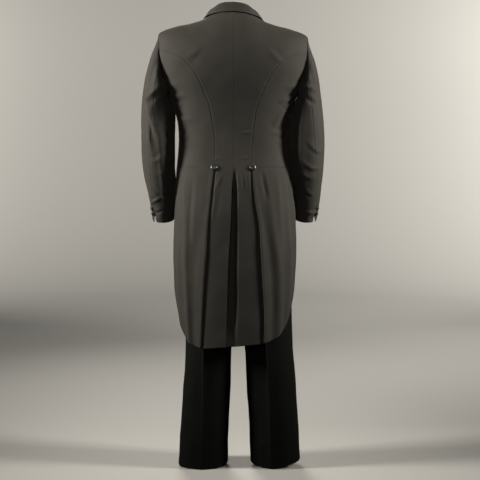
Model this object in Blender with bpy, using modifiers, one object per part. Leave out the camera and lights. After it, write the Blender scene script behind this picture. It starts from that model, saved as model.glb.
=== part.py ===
"""A black tailcoat and its trousers, in the shape they keep when worn, hollow and with no wearer.

Every cloth piece is a thin wall. Its outside follows the sections of the coat, the sleeve or the trousers,
and its edges are the seams that neighbouring pieces share. x grows towards the wearer's left and y towards
the back. Lengths are in metres. Heights are above the ground that the trouser hem hangs just clear of.
"""

import functools
import math

import bmesh
import bpy
import numpy as np
from mathutils import Vector

# Cloth
COAT_CLOTH = 0.0022
TROUSER_CLOTH = 0.0018
FOLDED_CLOTH = 0.0016
SEAM = 0.0003

# Heights
HELD_HEIGHT = 1.420
WAIST_SEAM = 0.956
VENT_TOP = 0.950
BACK_NECK = 1.442
BLADES = 1.27
CHEST = 1.25
LAPEL_FOOT = 1.048
GORGE = 1.375
CROTCH = 0.775
HIP_TOP = 0.93
BAND_BOTTOM = 1.000
BAND_TOP = 1.038
HEM_SIDE = 0.034
HEM_SLANT = 0.0095

# Widths, turns and counts
SQUARENESS = 2.3
HIP_SQUARENESS = 2.2
ROUND = 0.0026          # metres round the waist for each degree
NECK_POINT = 0.066
PLEAT_TOP = 0.0585
PLEAT_DEPTH = 0.003
RECESS = 0.003
LAP = 0.0018            # how far each front stands off at the closing
SKIRT_FRONT = 178.4     # degrees
UNDERARM_SEAM = 104     # degrees
ARM_BACK_SEAM = 62      # degrees down the armhole from its top, behind
ARM_UNDER_SEAM = 205    # degrees down the armhole from its top, going round the back
ARM_CENTRE = (-0.003, 1.28)
ARM_OUT = 0.216
ARM_HALF_HEIGHT = 0.095
ARM_HALF_DEPTH = 0.0665
ARM_LEAN = 0.138        # how much further out the armhole is for each metre up
ARM_YAW = 0.15          # and for each metre back
SEAM_ROWS = 13
ARM_BACK_ROWS = 4
ARM_FRONT_ROWS = 6
NECK_COLUMNS = 5
SHOULDER_COLUMNS = 7
SIDE_COLUMNS = 7
LAPEL_ROWS = 11
LAPEL_CLOSING = 1.25
FRONT_NECK_ROWS = 4
TAIL_ROWS = (0.410, 0.440, 0.500, 0.560, 0.620, 0.680, 0.740, 0.800, 0.860, 0.905, 0.930, 0.942, 0.950)
SKIRT_ROWS = 12
UPPER_COLUMNS = 11
UNDER_COLUMNS = 7
LEG_ROWS = (0.034, 0.14, 0.26, 0.39, 0.50, 0.60, 0.69, 0.745, CROTCH, 0.785, 0.80, 0.825, 0.865, 0.92, 0.965,
            BAND_BOTTOM)
LEG_COLUMNS = 8
CREASE = 0.0035
STEP = 0.0004           # for slopes taken from two near points
SPLIT_WAY = Vector((0.0, 0.17, 1.0))


def table(columns, *rows):
    """A short table's columns by name, each with its slope. The first column grows from row to row."""
    values = np.array(rows, float)
    places = values[:, 0]
    found = {}
    for k, name in enumerate(columns.split()):
        found[name] = (places, values[:, k], np.gradient(values[:, k], places))
    return found


COAT = table(
    "height half_width back front",
    (0.39, 0.1730, 0.1170, -0.1250),
    (0.45, 0.1765, 0.1200, -0.1250),
    (0.52, 0.1815, 0.1235, -0.1260),
    (0.58, 0.1870, 0.1260, -0.1270),
    (0.65, 0.1920, 0.1280, -0.1280),
    (0.76, 0.1915, 0.1280, -0.1300),
    (0.81, 0.1905, 0.1270, -0.1305),
    (0.865, 0.1880, 0.1225, -0.1300),
    (0.902, 0.1855, 0.1180, -0.1285),
    (0.943, 0.1810, 0.1105, -0.1260),
    (0.981, 0.1745, 0.1030, -0.1230),
    (1.019, 0.1715, 0.0980, -0.1210),
    (1.057, 0.1715, 0.0960, -0.1200),
    (1.107, 0.1770, 0.0990, -0.1210),
    (1.132, 0.1830, 0.1020, -0.1225),
    (1.161, 0.1905, 0.1060, -0.1240),
    (1.186, 0.2030, 0.1100, -0.1255),
    (1.21, 0.2150, 0.1140, -0.1270),
    (1.25, 0.2310, 0.1190, -0.1290),
    (1.29, 0.2380, 0.1210, -0.1300),
    (1.35, 0.2380, 0.1210, -0.1300),
)
SHOULDER = table(
    "out height behind",
    (0.000, 1.4620, 0.0120),
    (0.030, 1.4560, 0.0120),
    (0.050, 1.4460, 0.0120),
    (0.066, 1.4360, 0.0110),
    (0.087, 1.4225, 0.0100),
    (0.128, 1.4060, 0.0090),
    (0.181, 1.3935, 0.0080),
    (0.2195, 1.3800, 0.0060),
    (0.229, 1.3740, 0.0060),
    (0.245, 1.3600, 0.0060),
)
BACK_NECKLINE = table("out height", (0.0, BACK_NECK), (0.025, 1.4405), (0.045, 1.4380), (0.058, 1.4368))
SIDE_BACK_SEAM = (  # out, height: from the waist seam up to the armhole
    (0.0550, WAIST_SEAM),
    (0.0555, 1.016),
    (0.0590, 1.070),
    (0.0647, 1.104),
    (0.0710, 1.141),
    (0.0875, 1.184),
    (0.1010, 1.217),
    (0.1170, 1.2475),
    (0.1390, 1.275),
    (0.1750, 1.300),
)
TAIL = table(  # the tail's tucked outer edge, and its edges at the centre vent, on top and below
    "height tucked over under",
    (0.410, 0.1005, 0.0235, -0.0350),
    (0.440, 0.1140, 0.0228, -0.0380),
    (0.500, 0.1220, 0.0208, -0.0400),
    (0.660, 0.1170, 0.0160, -0.0400),
    (0.766, 0.1100, 0.0100, -0.0400),
    (0.860, 0.1010, 0.0058, -0.0380),
    (0.905, 0.0940, 0.0038, -0.0300),
    (0.930, 0.0730, 0.0020, -0.0160),
    (0.942, 0.0610, 0.0010, -0.0060),
    (0.950, 0.0560, 0.0000, 0.0000),
    (0.956, 0.0550, 0.0000, 0.0000),
)
PLEAT = table(  # where each side pleat's edge lies on the back
    "height left right",
    (0.392, 0.1020, 0.0925),
    (0.480, 0.0990, 0.0950),
    (0.550, 0.0955, 0.0930),
    (0.620, 0.0915, 0.0885),
    (0.700, 0.0850, 0.0840),
    (0.784, 0.0795, 0.0785),
    (0.857, 0.0710, 0.0665),
    (0.920, 0.0640, 0.0600),
    (0.956, PLEAT_TOP, PLEAT_TOP),
)
SKIRT_HEM = table(  # the skirt's lower edge from the pleat round the side to the front
    "turn height",
    (32, 0.4130),
    (38, 0.4160),
    (45, 0.4230),
    (53, 0.4340),
    (61, 0.4520),
    (66, 0.4710),
    (71, 0.4930),
    (75, 0.5200),
    (79, 0.5560),
    (85, 0.6000),
    (94, 0.6450),
    (106, 0.6920),
    (120, 0.7520),
    (134, 0.8080),
    (147, 0.8580),
    (160, 0.9030),
    (171, 0.9360),
    (SKIRT_FRONT, 0.9485),
)
SKIRT_FOLDS = (  # turn at the top and at the hem, half width in degrees, depth outwards, top height, side
    (24.0, 40.0, 4.5, -0.0035, 0.940, -1),
    (32.0, 50.0, 5.0, 0.0040, 0.900, -1),
    (27.0, 42.0, 5.0, -0.0025, 0.880, 1),
    (46.0, 50.0, 4.0, 0.0050, 0.940, 1),
    (60.0, 68.0, 5.0, 0.0035, 0.900, 1),
    (58.0, 66.0, 5.5, 0.0040, 0.880, -1),
    (84.0, 80.0, 6.0, 0.0040, 0.860, 1),
    (80.0, 76.0, 6.0, 0.0035, 0.860, -1),
    (108.0, 98.0, 6.0, -0.0030, 0.900, 1),
    (112.0, 100.0, 7.0, -0.0030, 0.900, -1),
)
FRONT_EDGE = (  # out, height: from the waist seam round the button and up the roll line
    (0.0080, WAIST_SEAM),
    (0.0010, 0.9620),
    (-0.0080, 0.9710),
    (-0.0130, 0.9830),
    (-0.0135, 0.9970),
    (-0.0100, 1.0150),
    (-0.0030, 1.0330),
    (0.0045, LAPEL_FOOT),
)
ROLL_LINE = ((0.0045, LAPEL_FOOT), (0.0175, 1.120), (0.0305, 1.200), (0.0430, 1.280), (0.0530, 1.340),
             (0.0573, 1.370))
FRONT_NECKLINE = ((0.0573, 1.370), (0.0580, GORGE), (0.0630, 1.405), (0.0660, 1.4360))
LAPEL_EDGE = ((0.0130, 1.047), (0.0450, 1.095), (0.0750, 1.155), (0.0980, 1.215), (0.1150, 1.275),
              (0.1280, 1.330), (0.1385, 1.374))
NOTCH = (0.0995, 1.3345)
LAPEL_TOP = (0.0625, 1.3655)
LAPEL_TURN = ((0.0004, -0.0011), (0.0019, -0.0007), (0.0029, 0.0006), (0.0022, 0.0020), (0.0, 0.0026))
LAPEL_LIFT = 0.0031     # the turn above: how far inwards and out of the cloth the lapel's turned edge passes
COLLAR = table(  # share of the way from the middle of the back to the gorge: stand, and the fall's edge
    "share stand edge_out edge_height",
    (0.00, 0.0265, 0.0000, 1.4350),
    (0.20, 0.0260, 0.0300, 1.4335),
    (0.38, 0.0230, 0.0540, 1.4300),
    (0.50, 0.0180, 0.0780, 1.4240),
    (0.58, 0.0150, 0.0930, 1.4160),
    (0.75, 0.0080, 0.1080, 1.3900),
    (0.90, 0.0040, 0.1075, 1.3560),
    (1.00, 0.0030, 0.1010, 1.3400),
)
COLLAR_FOLD = 0.0019
COLLAR_FOOT = 0.0014
COLLAR_BULGE = 0.004
COLLAR_LIFT = 0.0039
COLLAR_RISE_BEHIND = (0.0, -0.12, 1.0)
COLLAR_RISE_AT_GORGE = (-0.93, 0.1, 0.36)
SLEEVE = table(  # outer and inner sides seen from behind, and the depth, for each ring from armhole to cuff
    "ring outer_left outer_right outer_height inner_left inner_right inner_height "
    "behind half_depth slope hind fore",
    (0, 0.2297, 0.2297, 1.3735, 0.2030, 0.2030, 1.1860, -0.003, 0.0665, 0.00, 95, 212),
    (1, 0.2365, 0.2355, 1.3470, 0.2040, 0.2040, 1.1825, 0.000, 0.0675, 0.00, 94, 214),
    (2, 0.2560, 0.2510, 1.3000, 0.2025, 0.2025, 1.1760, 0.001, 0.0690, 0.00, 90, 216),
    (3, 0.2700, 0.2620, 1.2450, 0.1985, 0.1980, 1.1650, 0.002, 0.0705, 0.00, 86, 218),
    (4, 0.2795, 0.2715, 1.1850, 0.1925, 0.1915, 1.1500, 0.003, 0.0710, 0.00, 82, 220),
    (5, 0.2850, 0.2780, 1.1300, 0.1850, 0.1835, 1.1250, 0.004, 0.0700, 0.00, 77, 222),
    (6, 0.2870, 0.2825, 1.0750, 0.1820, 0.1747, 1.0760, 0.006, 0.0670, 0.00, 72, 224),
    (7, 0.2865, 0.2840, 1.0200, 0.1825, 0.1732, 1.0240, 0.006, 0.0640, -0.04, 67, 226),
    (8, 0.2825, 0.2815, 0.9650, 0.1840, 0.1787, 0.9710, 0.002, 0.0610, -0.10, 62, 228),
    (9, 0.2750, 0.2750, 0.9100, 0.1835, 0.1860, 0.9170, -0.008, 0.0585, -0.16, 57, 230),
    (10, 0.2685, 0.2685, 0.8650, 0.1860, 0.1890, 0.8700, -0.020, 0.0565, -0.19, 53, 232),
    (11, 0.2640, 0.2640, 0.8400, 0.1868, 0.1892, 0.8430, -0.028, 0.0555, -0.20, 51, 233),
    (12, 0.2605, 0.2605, 0.8160, 0.1870, 0.1885, 0.8180, -0.035, 0.0550, -0.20, 50, 234),
    (13, 0.2575, 0.2575, 0.7930, 0.1870, 0.1870, 0.7930, -0.042, 0.0550, -0.20, 49, 235),
)
RINGS = 14
CUFF_VENT = {12: 2.5, 13: 6.5}      # degrees that each side of the vent stands open at a ring
VENT_FLARE = 0.003
LEG = table(  # one trouser leg, which joins the hips above the crotch
    "height inner half_width behind back front",
    (0.034, 0.0364, 0.0795, 0.004, 0.062, 0.060),
    (0.14, 0.0330, 0.0775, 0.004, 0.063, 0.061),
    (0.26, 0.0265, 0.0770, 0.004, 0.066, 0.063),
    (0.39, 0.0210, 0.0745, 0.004, 0.070, 0.066),
    (0.50, 0.0160, 0.0770, 0.004, 0.074, 0.072),
    (0.60, 0.0100, 0.0830, 0.004, 0.083, 0.080),
    (0.69, 0.0050, 0.0885, 0.003, 0.094, 0.089),
    (0.745, 0.0020, 0.0912, 0.002, 0.098, 0.096),
    (0.775, 0.0003, 0.0922, 0.002, 0.101, 0.101),
)
HIPS = table(
    "height half_width back front",
    (0.775, 0.1850, 0.1040, 0.1080),
    (0.825, 0.1850, 0.1080, 0.1120),
    (0.865, 0.1830, 0.1070, 0.1140),
    (0.92, 0.1770, 0.1015, 0.1140),
    (0.965, 0.1706, 0.0945, 0.1110),
    (1.000, 0.1683, 0.0905, 0.1080),
    (1.038, 0.1679, 0.0885, 0.1060),
)
CREASE_SHIFT = table(  # how far outwards each leg's crease lies from the middle of the leg
    "height left right",
    (0.034, 0.003, -0.014),
    (0.26, 0.010, -0.011),
    (0.39, 0.014, -0.010),
    (0.60, 0.008, -0.004),
    (0.775, 0.000, 0.000),
)
STANCE = table(  # how the hips sway, the legs stand aside, the whole leans and hangs, as one stands
    "height sway aside lean hang",
    (0.00, 0.0000, -0.0190, -0.040, 0.0165),
    (0.20, -0.0020, -0.0175, -0.060, 0.0100),
    (0.41, -0.0040, -0.0150, -0.080, 0.0045),
    (0.62, -0.0050, -0.0070, -0.030, 0.0012),
    (0.80, -0.0055, 0.0000, 0.000, 0.0000),
    (0.90, -0.0040, 0.0000, 0.000, 0.0000),
    (1.00, 0.0000, 0.0000, 0.000, 0.0000),
    (1.10, 0.0000, 0.0000, 0.000, 0.0008),
    (1.25, 0.0000, 0.0000, 0.013, 0.0036),
    (1.42, 0.0000, 0.0000, 0.026, 0.0085),
)
HIP_HALF = 0.19
MOST_SWAY = 1.2         # times the sway at the hips' half width
RIGHT_ARM_ASIDE = 0.009
WAIST_BUTTON = (0.0587, WAIST_SEAM, 0.0105, 0.0055)     # out, height, radius and rise
FRONT_BUTTON = (0.0, 0.992, 0.0105, 0.0050)
CUFF_BUTTONS = ((36, 11.25), (36, 11.95))       # degrees round the sleeve and the ring
CUFF_BUTTON_SIZE = (0.0070, 0.0045)
FLY_WIDTH = 0.036
FLY_FOOT = 0.862
FLY_FOOT_WIDTH = 0.008
FLY_ROUNDING = 0.04
FLY_TURN = 21.5         # degrees of the leg that the fly covers
FLY_CLOTH = 0.0012
LIE_OFF = 0.0004        # between cloths that lap
BAND_COLUMNS = 36
BAND_LAP = 7.0          # degrees
BUTTON_SIDES = 14
BUTTON_PROFILE = (  # shares of the radius and of the rise
    (0.0, 1.0), (0.45, 0.93), (0.80, 0.66), (1.0, 0.28), (0.86, 0.0), (0.0, 0.0),
)


def read(rows, column, at):
    """A column's value on the smooth curve through its rows, held beyond the end rows."""
    places, values, slopes = rows[column]
    k = min(max(int(np.searchsorted(places, at)) - 1, 0), len(places) - 2)
    width = places[k + 1] - places[k]
    t = min(max((at - places[k]) / width, 0.0), 1.0)
    rise = values[k + 1] - values[k]
    bend = width * t * (1 - t) * ((1 - t) * slopes[k] - t * slopes[k + 1])
    return values[k] + t * t * (3 - 2 * t) * rise + bend


def ramp(value, start, end):
    """0 at start, 1 at end and beyond, smooth between."""
    t = min(max((value - start) / (end - start), 0.0), 1.0)
    return t * t * (3 - 2 * t)


def unit(vector):
    return vector / np.linalg.norm(vector)


def along(points, count, closing=1.0):
    """Points on the smooth curve through the given ones, evenly spaced, or closer towards its end."""
    points = np.array(points, float)
    steps = np.linalg.norm(np.diff(points, axis=0), axis=1)
    length = np.concatenate([[0.0], np.cumsum(steps)])
    curve = [table("length value", *zip(length, points[:, k])) for k in range(points.shape[1])]
    reach = length[-1] * (1 - (1 - np.linspace(0, 1, count)) ** closing)
    return np.array([[read(rows, "value", at) for rows in curve] for at in reach])


def shares(*edges):
    """How far along each point of an edge lies, averaged over edges with as many points."""
    found = []
    for edge in edges:
        steps = np.linalg.norm(np.diff(edge, axis=0), axis=1)
        found.append(np.concatenate([[0.0], np.cumsum(steps)]) / steps.sum())
    return np.mean(found, axis=0)


def patch(bottom, top, left, right):
    """A grid of places between four edges that meet at their corners, rows going up."""
    bottom, top, left, right = (np.array(edge, float) for edge in (bottom, top, left, right))
    u = shares(bottom, top)[None, :, None]
    v = shares(left, right)[:, None, None]
    between_rows = (1 - v) * bottom[None] + v * top[None]
    between_sides = (1 - u) * left[:, None] + u * right[:, None]
    corners = (1 - v) * ((1 - u) * bottom[0] + u * bottom[-1]) + v * ((1 - u) * top[0] + u * top[-1])
    return between_rows + between_sides - corners


def coat(arc, height):
    """A point on the coat's outside. arc is 0 at the middle of the back and grows round the left.

    A height above the shoulder's crest counts down its other side.
    """
    turn = math.radians(arc / ROUND)
    power = 2 / SQUARENESS
    x = math.copysign(read(COAT, "half_width", height) * abs(math.sin(turn)) ** power, math.sin(turn))
    behind = math.cos(turn) >= 0
    y = read(COAT, "back" if behind else "front", height) * abs(math.cos(turn)) ** power
    start = BLADES if behind else CHEST
    if height > start:
        crest = read(SHOULDER, "height", abs(x))
        middle = read(SHOULDER, "behind", abs(x))
        over = 1.0 if height <= crest else -1.0
        height = min(height, 2 * crest - height)
        rise = (height - start) / (crest - start)
        y = middle + over * (y - middle) * math.sqrt(1 - rise ** 2.2)
    return np.array((x, y, height))


def arc_at(x, height, behind=True):
    """The arc at which the coat's outside is this far out."""
    ratio = min(abs(x) / read(COAT, "half_width", height), 1.0)
    turn = math.copysign(math.degrees(math.asin(ratio ** (SQUARENESS / 2))), x)
    return ROUND * (turn if behind else 180 - turn)


def places(points, behind=True):
    """Turns (out, height) into places on the coat."""
    return [(arc_at(x, height, behind), height) for x, height in points]


def inside_coat(point):
    x, y, height = point
    if abs(x) >= read(COAT, "half_width", height) or height >= read(SHOULDER, "height", abs(x)):
        return False
    front = coat(arc_at(x, height, False), height)[1]
    back = coat(arc_at(x, height), height)[1]
    return front < y < back


ARM_UP = unit(np.array((ARM_LEAN, 0.0, 1.0)))
ARM_BACK = unit(np.array((ARM_YAW, 1.0, 0.0)))
ARM_AWAY = unit(np.cross(ARM_BACK, ARM_UP))
ARM_MIDDLE = np.array((ARM_OUT + ARM_YAW * ARM_CENTRE[0], *ARM_CENTRE))


@functools.cache
def armhole(turn):
    """The armhole's edge on the coat, in one flat plane: turn is 0 at the shoulder and 90 behind."""
    angle = math.radians(turn)
    way = unit(ARM_HALF_HEIGHT * math.cos(angle) * ARM_UP + ARM_HALF_DEPTH * math.sin(angle) * ARM_BACK)
    near, far = 0.02, 0.16
    for _ in range(40):
        middle = (near + far) / 2
        if inside_coat(ARM_MIDDLE + middle * way):
            near = middle
        else:
            far = middle
    return ARM_MIDDLE + near * way


def armhole_place(turn):
    x, y, height = armhole(turn)
    behind = turn % 360 < 180 and y > coat(90 * ROUND, height)[1]
    return arc_at(x, height, behind), height


def faced(surface, p, q):
    """A surface's point at a place, and its normal."""
    across = surface(p + STEP, q) - surface(p - STEP, q)
    upwards = surface(p, q + STEP) - surface(p, q - STEP)
    return surface(p, q), unit(np.cross(upwards, across))


def skin(surface, grid, cloth, turned=1):
    """Outer and inner points of a wall: the surface's points at the grid's places, and the same moved in.

    turned is -1 for a surface whose normals point in.
    """
    found = np.array([[faced(surface, *place) for place in row] for row in grid])
    outer, normal = found[:, :, 0], found[:, :, 1] * turned
    outer = narrowed(outer, normal)
    return outer, outer - cloth * normal


def kept_behind(outer, inner, away):
    """Inner points that don't pass their outer ones along the way given, as far from them as before."""
    moved = inner - outer
    cloth = np.linalg.norm(moved, axis=-1, keepdims=True)
    moved = moved - away * np.maximum((moved * away).sum(axis=-1, keepdims=True), 0.0)
    return outer + moved / np.linalg.norm(moved, axis=-1, keepdims=True) * cloth


def narrowed(outer, normal):
    """Draws every edge of a grid in by half a seam's gap, along the cloth."""
    moved = outer.copy()
    edges = ((0, slice(None)), (-1, slice(None)), (slice(None), 0), (slice(None), -1))
    inner_edges = ((1, slice(None)), (-2, slice(None)), (slice(None), 1), (slice(None), -2))
    for edge, inner in zip(edges, inner_edges):
        line = np.gradient(outer[edge], axis=0)
        inwards = np.cross(normal[edge], line)
        inwards /= np.linalg.norm(inwards, axis=1)[:, None]
        if ((outer[inner] - outer[edge]) * inwards).sum() < 0:
            inwards = -inwards
        moved[edge] += inwards * SEAM / 2
    return moved


def folded(middle, cloth):
    """Outer and inner points of a wall about a grid of middle points."""
    across = np.gradient(middle, axis=1)
    upwards = np.gradient(middle, axis=0)
    normal = np.cross(across, upwards)
    normal /= np.linalg.norm(normal, axis=2)[:, :, None]
    return middle + normal * cloth / 2, middle - normal * cloth / 2


def stand(point, kind):
    """Where a point goes once the figure stands as shown: hips swayed, legs aside, shoulders lower."""
    x, y, height = point
    sway = read(STANCE, "sway", height) * min((x / HIP_HALF) ** 2, MOST_SWAY)
    if kind == "sleeve":
        sway = -RIGHT_ARM_ASIDE * (1 - ramp(height, 0.80, 1.0)) if x < 0 else 0.0
    if kind == "trousers":
        sway += read(STANCE, "aside", height)
    lower = read(STANCE, "hang", height) - read(STANCE, "lean", height) * x
    return np.array((x + sway, y, height - lower - HELD_HEIGHT))


def material(name, colour, roughness):
    made = bpy.data.materials.new(name)
    made.use_nodes = True
    shader = made.node_tree.nodes["Principled BSDF"]
    shader.inputs["Base Color"].default_value = (*colour, 1.0)
    shader.inputs["Roughness"].default_value = roughness
    shader.inputs["Metallic"].default_value = 0.0
    return made


def place_object(name, mesh, cloth, location):
    made = bpy.data.objects.new(name, mesh)
    mesh.materials.append(cloth)
    made.location = location
    made.parent = bpy.data.objects["tailcoat_suit"]
    bpy.data.collections["tailcoat_suit"].objects.link(made)
    return made


def add_wall(name, outer, inner, cloth, kind="coat", side=1):
    """One closed wall between two grids of points, mirrored for the right side.

    Its rim is split the same way as the rim of the piece that it meets there.
    """
    rows, columns = outer.shape[:2]
    mirror = np.array((side, 1, 1))
    grids = []
    for grid in (outer, inner):
        grids.append(np.array([[stand(point * mirror, kind) for point in row] for row in grid]))
    centre = grids[0].mean(axis=(0, 1))
    shape = bmesh.new()
    spots = [[[shape.verts.new(point - centre) for point in row] for row in grid] for grid in grids]
    for layer in spots:
        for i in range(rows - 1):
            for j in range(columns - 1):
                shape.faces.new((layer[i][j], layer[i][j + 1], layer[i + 1][j + 1], layer[i + 1][j]))
    rim = [(0, j) for j in range(columns)] + [(i, columns - 1) for i in range(1, rows)]
    rim += [(rows - 1, j) for j in range(columns - 2, -1, -1)] + [(i, 0) for i in range(rows - 2, 0, -1)]
    for (i, j), (k, m) in zip(rim, rim[1:] + rim[:1]):
        a, b, c, d = spots[0][i][j], spots[0][k][m], spots[1][k][m], spots[1][i][j]
        if (b.co - a.co).dot(SPLIT_WAY) > 0:
            shape.faces.new((a, b, c))
            shape.faces.new((a, c, d))
        else:
            shape.faces.new((a, b, d))
            shape.faces.new((b, c, d))
    bmesh.ops.recalc_face_normals(shape, faces=shape.faces)
    mesh = bpy.data.meshes.new(name)
    shape.to_mesh(mesh)
    shape.free()
    mesh.shade_smooth()
    mesh.set_sharp_from_angle(angle=math.radians(50))
    place_object(name, mesh, cloth, centre)


def side_back_seam():
    """Places from the waist seam up to the armhole, shared by the back and the side body."""
    x, _, height = armhole(ARM_BACK_SEAM)
    return np.array(places(along([*SIDE_BACK_SEAM, (x, height)], SEAM_ROWS)))


def underarm_seam():
    """Places from the waist seam up to the armhole, shared by the side body and the forepart."""
    top = armhole_place(ARM_UNDER_SEAM)
    return along([(UNDERARM_SEAM * ROUND, WAIST_SEAM), top], SEAM_ROWS)


def shoulder_seam():
    """(out, height) from the neck point to the armhole."""
    tip = armhole(0)[0]
    return [(x, read(SHOULDER, "height", x)) for x in np.linspace(NECK_POINT, tip, SHOULDER_COLUMNS + 1)]


def back_neckline():
    """(out, height) from the middle of the back to just before the neck point."""
    outs = NECK_POINT * (np.arange(NECK_COLUMNS) / NECK_COLUMNS) ** 0.8
    return [(x, read(BACK_NECKLINE, "height", x)) for x in outs]


def tail_surface(side):
    """The back's outside, tucked under the pleat and, on the right, sunk beside the centre vent."""
    name = "left" if side > 0 else "right"

    def surface(arc, height):
        point = coat(arc, height)
        below = 1 - ramp(height, VENT_TOP, WAIST_SEAM)
        pleat = read(PLEAT, name, height)
        tuck = ramp(point[0], pleat - 0.022, pleat - 0.006) + 1.4 * ramp(point[0], pleat, pleat + 0.014)
        sink = 0.0
        if side < 0:
            deep = RECESS + 0.006 * (1 - ramp(height, 0.85, 0.93)) * ramp(height, 0.45, 0.62)
            sink = deep * (1 - ramp(point[0], 0.004, 0.018))
        point[1] -= below * (PLEAT_DEPTH * tuck + sink)
        return point

    return surface


def back_panel(side):
    top = places(back_neckline()) + places(shoulder_seam())
    armhole_rows = np.linspace(ARM_BACK_SEAM, 0, ARM_BACK_ROWS + 1)[1:]
    right = np.concatenate([side_back_seam(), [armhole_place(turn) for turn in armhole_rows]])
    right[-1] = top[-1]
    heights = WAIST_SEAM + (BACK_NECK - WAIST_SEAM) * shares(right)
    left = [(0.0, height) for height in heights]
    reach = shares(np.array(top))
    bottom = [(share * right[0][0], WAIST_SEAM) for share in reach]
    upper = patch(bottom, top, left, right)
    lower = []
    for height in TAIL_ROWS:
        inner = read(TAIL, "over" if side > 0 else "under", height)
        outer = read(TAIL, "tucked", height)
        lower.append([(arc_at(inner + share * (outer - inner), height), height) for share in reach])
    outer, inner = skin(tail_surface(side), np.concatenate([np.array(lower), upper]), COAT_CLOTH)
    inner[-ARM_BACK_ROWS:, -1] = kept_behind(outer[-ARM_BACK_ROWS:, -1], inner[-ARM_BACK_ROWS:, -1], ARM_AWAY)
    return outer, inner


def side_panel():
    left = side_back_seam()
    right = underarm_seam()
    turns = np.linspace(ARM_BACK_SEAM, ARM_UNDER_SEAM, SIDE_COLUMNS + 1)
    top = [armhole_place(turn) for turn in turns]
    bottom = np.linspace(left[0], right[0], SIDE_COLUMNS + 1)
    return skin(coat, patch(bottom, top, left, right), COAT_CLOTH)


def closing_surface(side):
    """The forepart's outside: at the closing the left front stands off and the right one lies in."""

    def surface(arc, height):
        point = coat(arc, height)
        near = 1 - ramp(point[0], 0.020, 0.045)
        level = ramp(height, 0.948, 0.960) * (1 - ramp(height, 1.042, 1.075))
        point[1] -= side * LAP * near * level
        return point

    return surface


def front_neckline():
    """(out, height) from the top of the roll line over the gorge to the neck point."""
    return np.concatenate([[FRONT_NECKLINE[0]], along(FRONT_NECKLINE[1:], FRONT_NECK_ROWS)])


def front_boundary():
    """(out, height) up the front edge, the roll line and the neckline."""
    lower_rows = SEAM_ROWS - 1 + ARM_FRONT_ROWS - LAPEL_ROWS - FRONT_NECK_ROWS
    lower = along(FRONT_EDGE, lower_rows + 1)
    roll = along(ROLL_LINE, LAPEL_ROWS + 1, LAPEL_CLOSING)
    neck = front_neckline()
    return np.concatenate([lower, roll[1:], neck[1:]])


def front_panel(side):
    turns = np.linspace(ARM_UNDER_SEAM, 360, ARM_FRONT_ROWS + 1)[1:]
    top = places(shoulder_seam()[::-1], behind=False)
    left = np.concatenate([underarm_seam(), [armhole_place(turn) for turn in turns]])
    left[-1] = top[0]
    right = np.array(places(front_boundary(), behind=False))
    right[-1] = top[-1]
    reach = np.linspace(0, 1, SHOULDER_COLUMNS + 1)[:, None] ** 0.8
    bottom = left[0] + (right[0] - left[0]) * reach
    outer, inner = skin(closing_surface(side), patch(bottom, top, left, right), COAT_CLOTH)
    inner[-ARM_FRONT_ROWS:, 0] = kept_behind(outer[-ARM_FRONT_ROWS:, 0], inner[-ARM_FRONT_ROWS:, 0], ARM_AWAY)
    return outer, inner


def surface_frame(surface, point, way):
    """A front edge's point, its normal, and the way across the cloth that is nearest to the given one."""
    x, height = point
    spot, normal = faced(surface, arc_at(x, height, behind=False), height)
    return spot, normal, unit(way - normal * np.dot(way, normal))


def lifted(surface, point, lift):
    spot, normal, _ = surface_frame(surface, point, np.array((1.0, 0.0, 0.0)))
    return spot + normal * lift


def lapel(side):
    """The lapel: it rises from the forepart's edge, turns over at the roll line and lies on the chest."""
    surface = closing_surface(side)
    roll = along(ROLL_LINE, LAPEL_ROWS + 1, LAPEL_CLOSING)
    edge = along(LAPEL_EDGE, LAPEL_ROWS + 1, LAPEL_CLOSING)
    start = roll + np.array((0.005, -0.0006))
    start[-1] = LAPEL_TOP
    top = np.concatenate([along([start[-1], NOTCH], 4), along([NOTCH, edge[-1]], 3)[1:]])
    bottom = along([start[0], edge[0]], 6)
    spread = patch(bottom, top, start, edge)
    rows = []
    for k, point in enumerate(roll):
        line = roll[min(k + 1, LAPEL_ROWS)] - roll[max(k - 1, 0)]
        way = np.array((-line[1], 0.0, line[0]))
        spot, normal, inwards = surface_frame(surface, point, way)
        row = [spot + inwards * aside + normal * out for aside, out in LAPEL_TURN]
        row += [lifted(surface, place, LAPEL_LIFT) for place in spread[k]]
        rows.append(row)
    return folded(np.array(rows), FOLDED_CLOTH)


def collar_base():
    """The seam that the collar stands on, from the middle of the back: share, point, normal, way up."""
    back = [(x, height, True) for x, height in back_neckline() + [shoulder_seam()[0]]]
    front = [(x, height, False) for x, height in front_neckline()[:0:-1]][1:]
    found = []
    for k, (x, height, behind) in enumerate(back + front):
        share = k / (len(back + front) - 1)
        point, normal = faced(coat, arc_at(x, height, behind), height)
        inwards = unit(np.array(COLLAR_RISE_AT_GORGE))
        up = unit(np.array(COLLAR_RISE_BEHIND))
        blend = ramp(share, 0.45, 1.0)
        found.append((share, point, normal, unit((1 - blend) * up + blend * inwards)))
    return found


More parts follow.
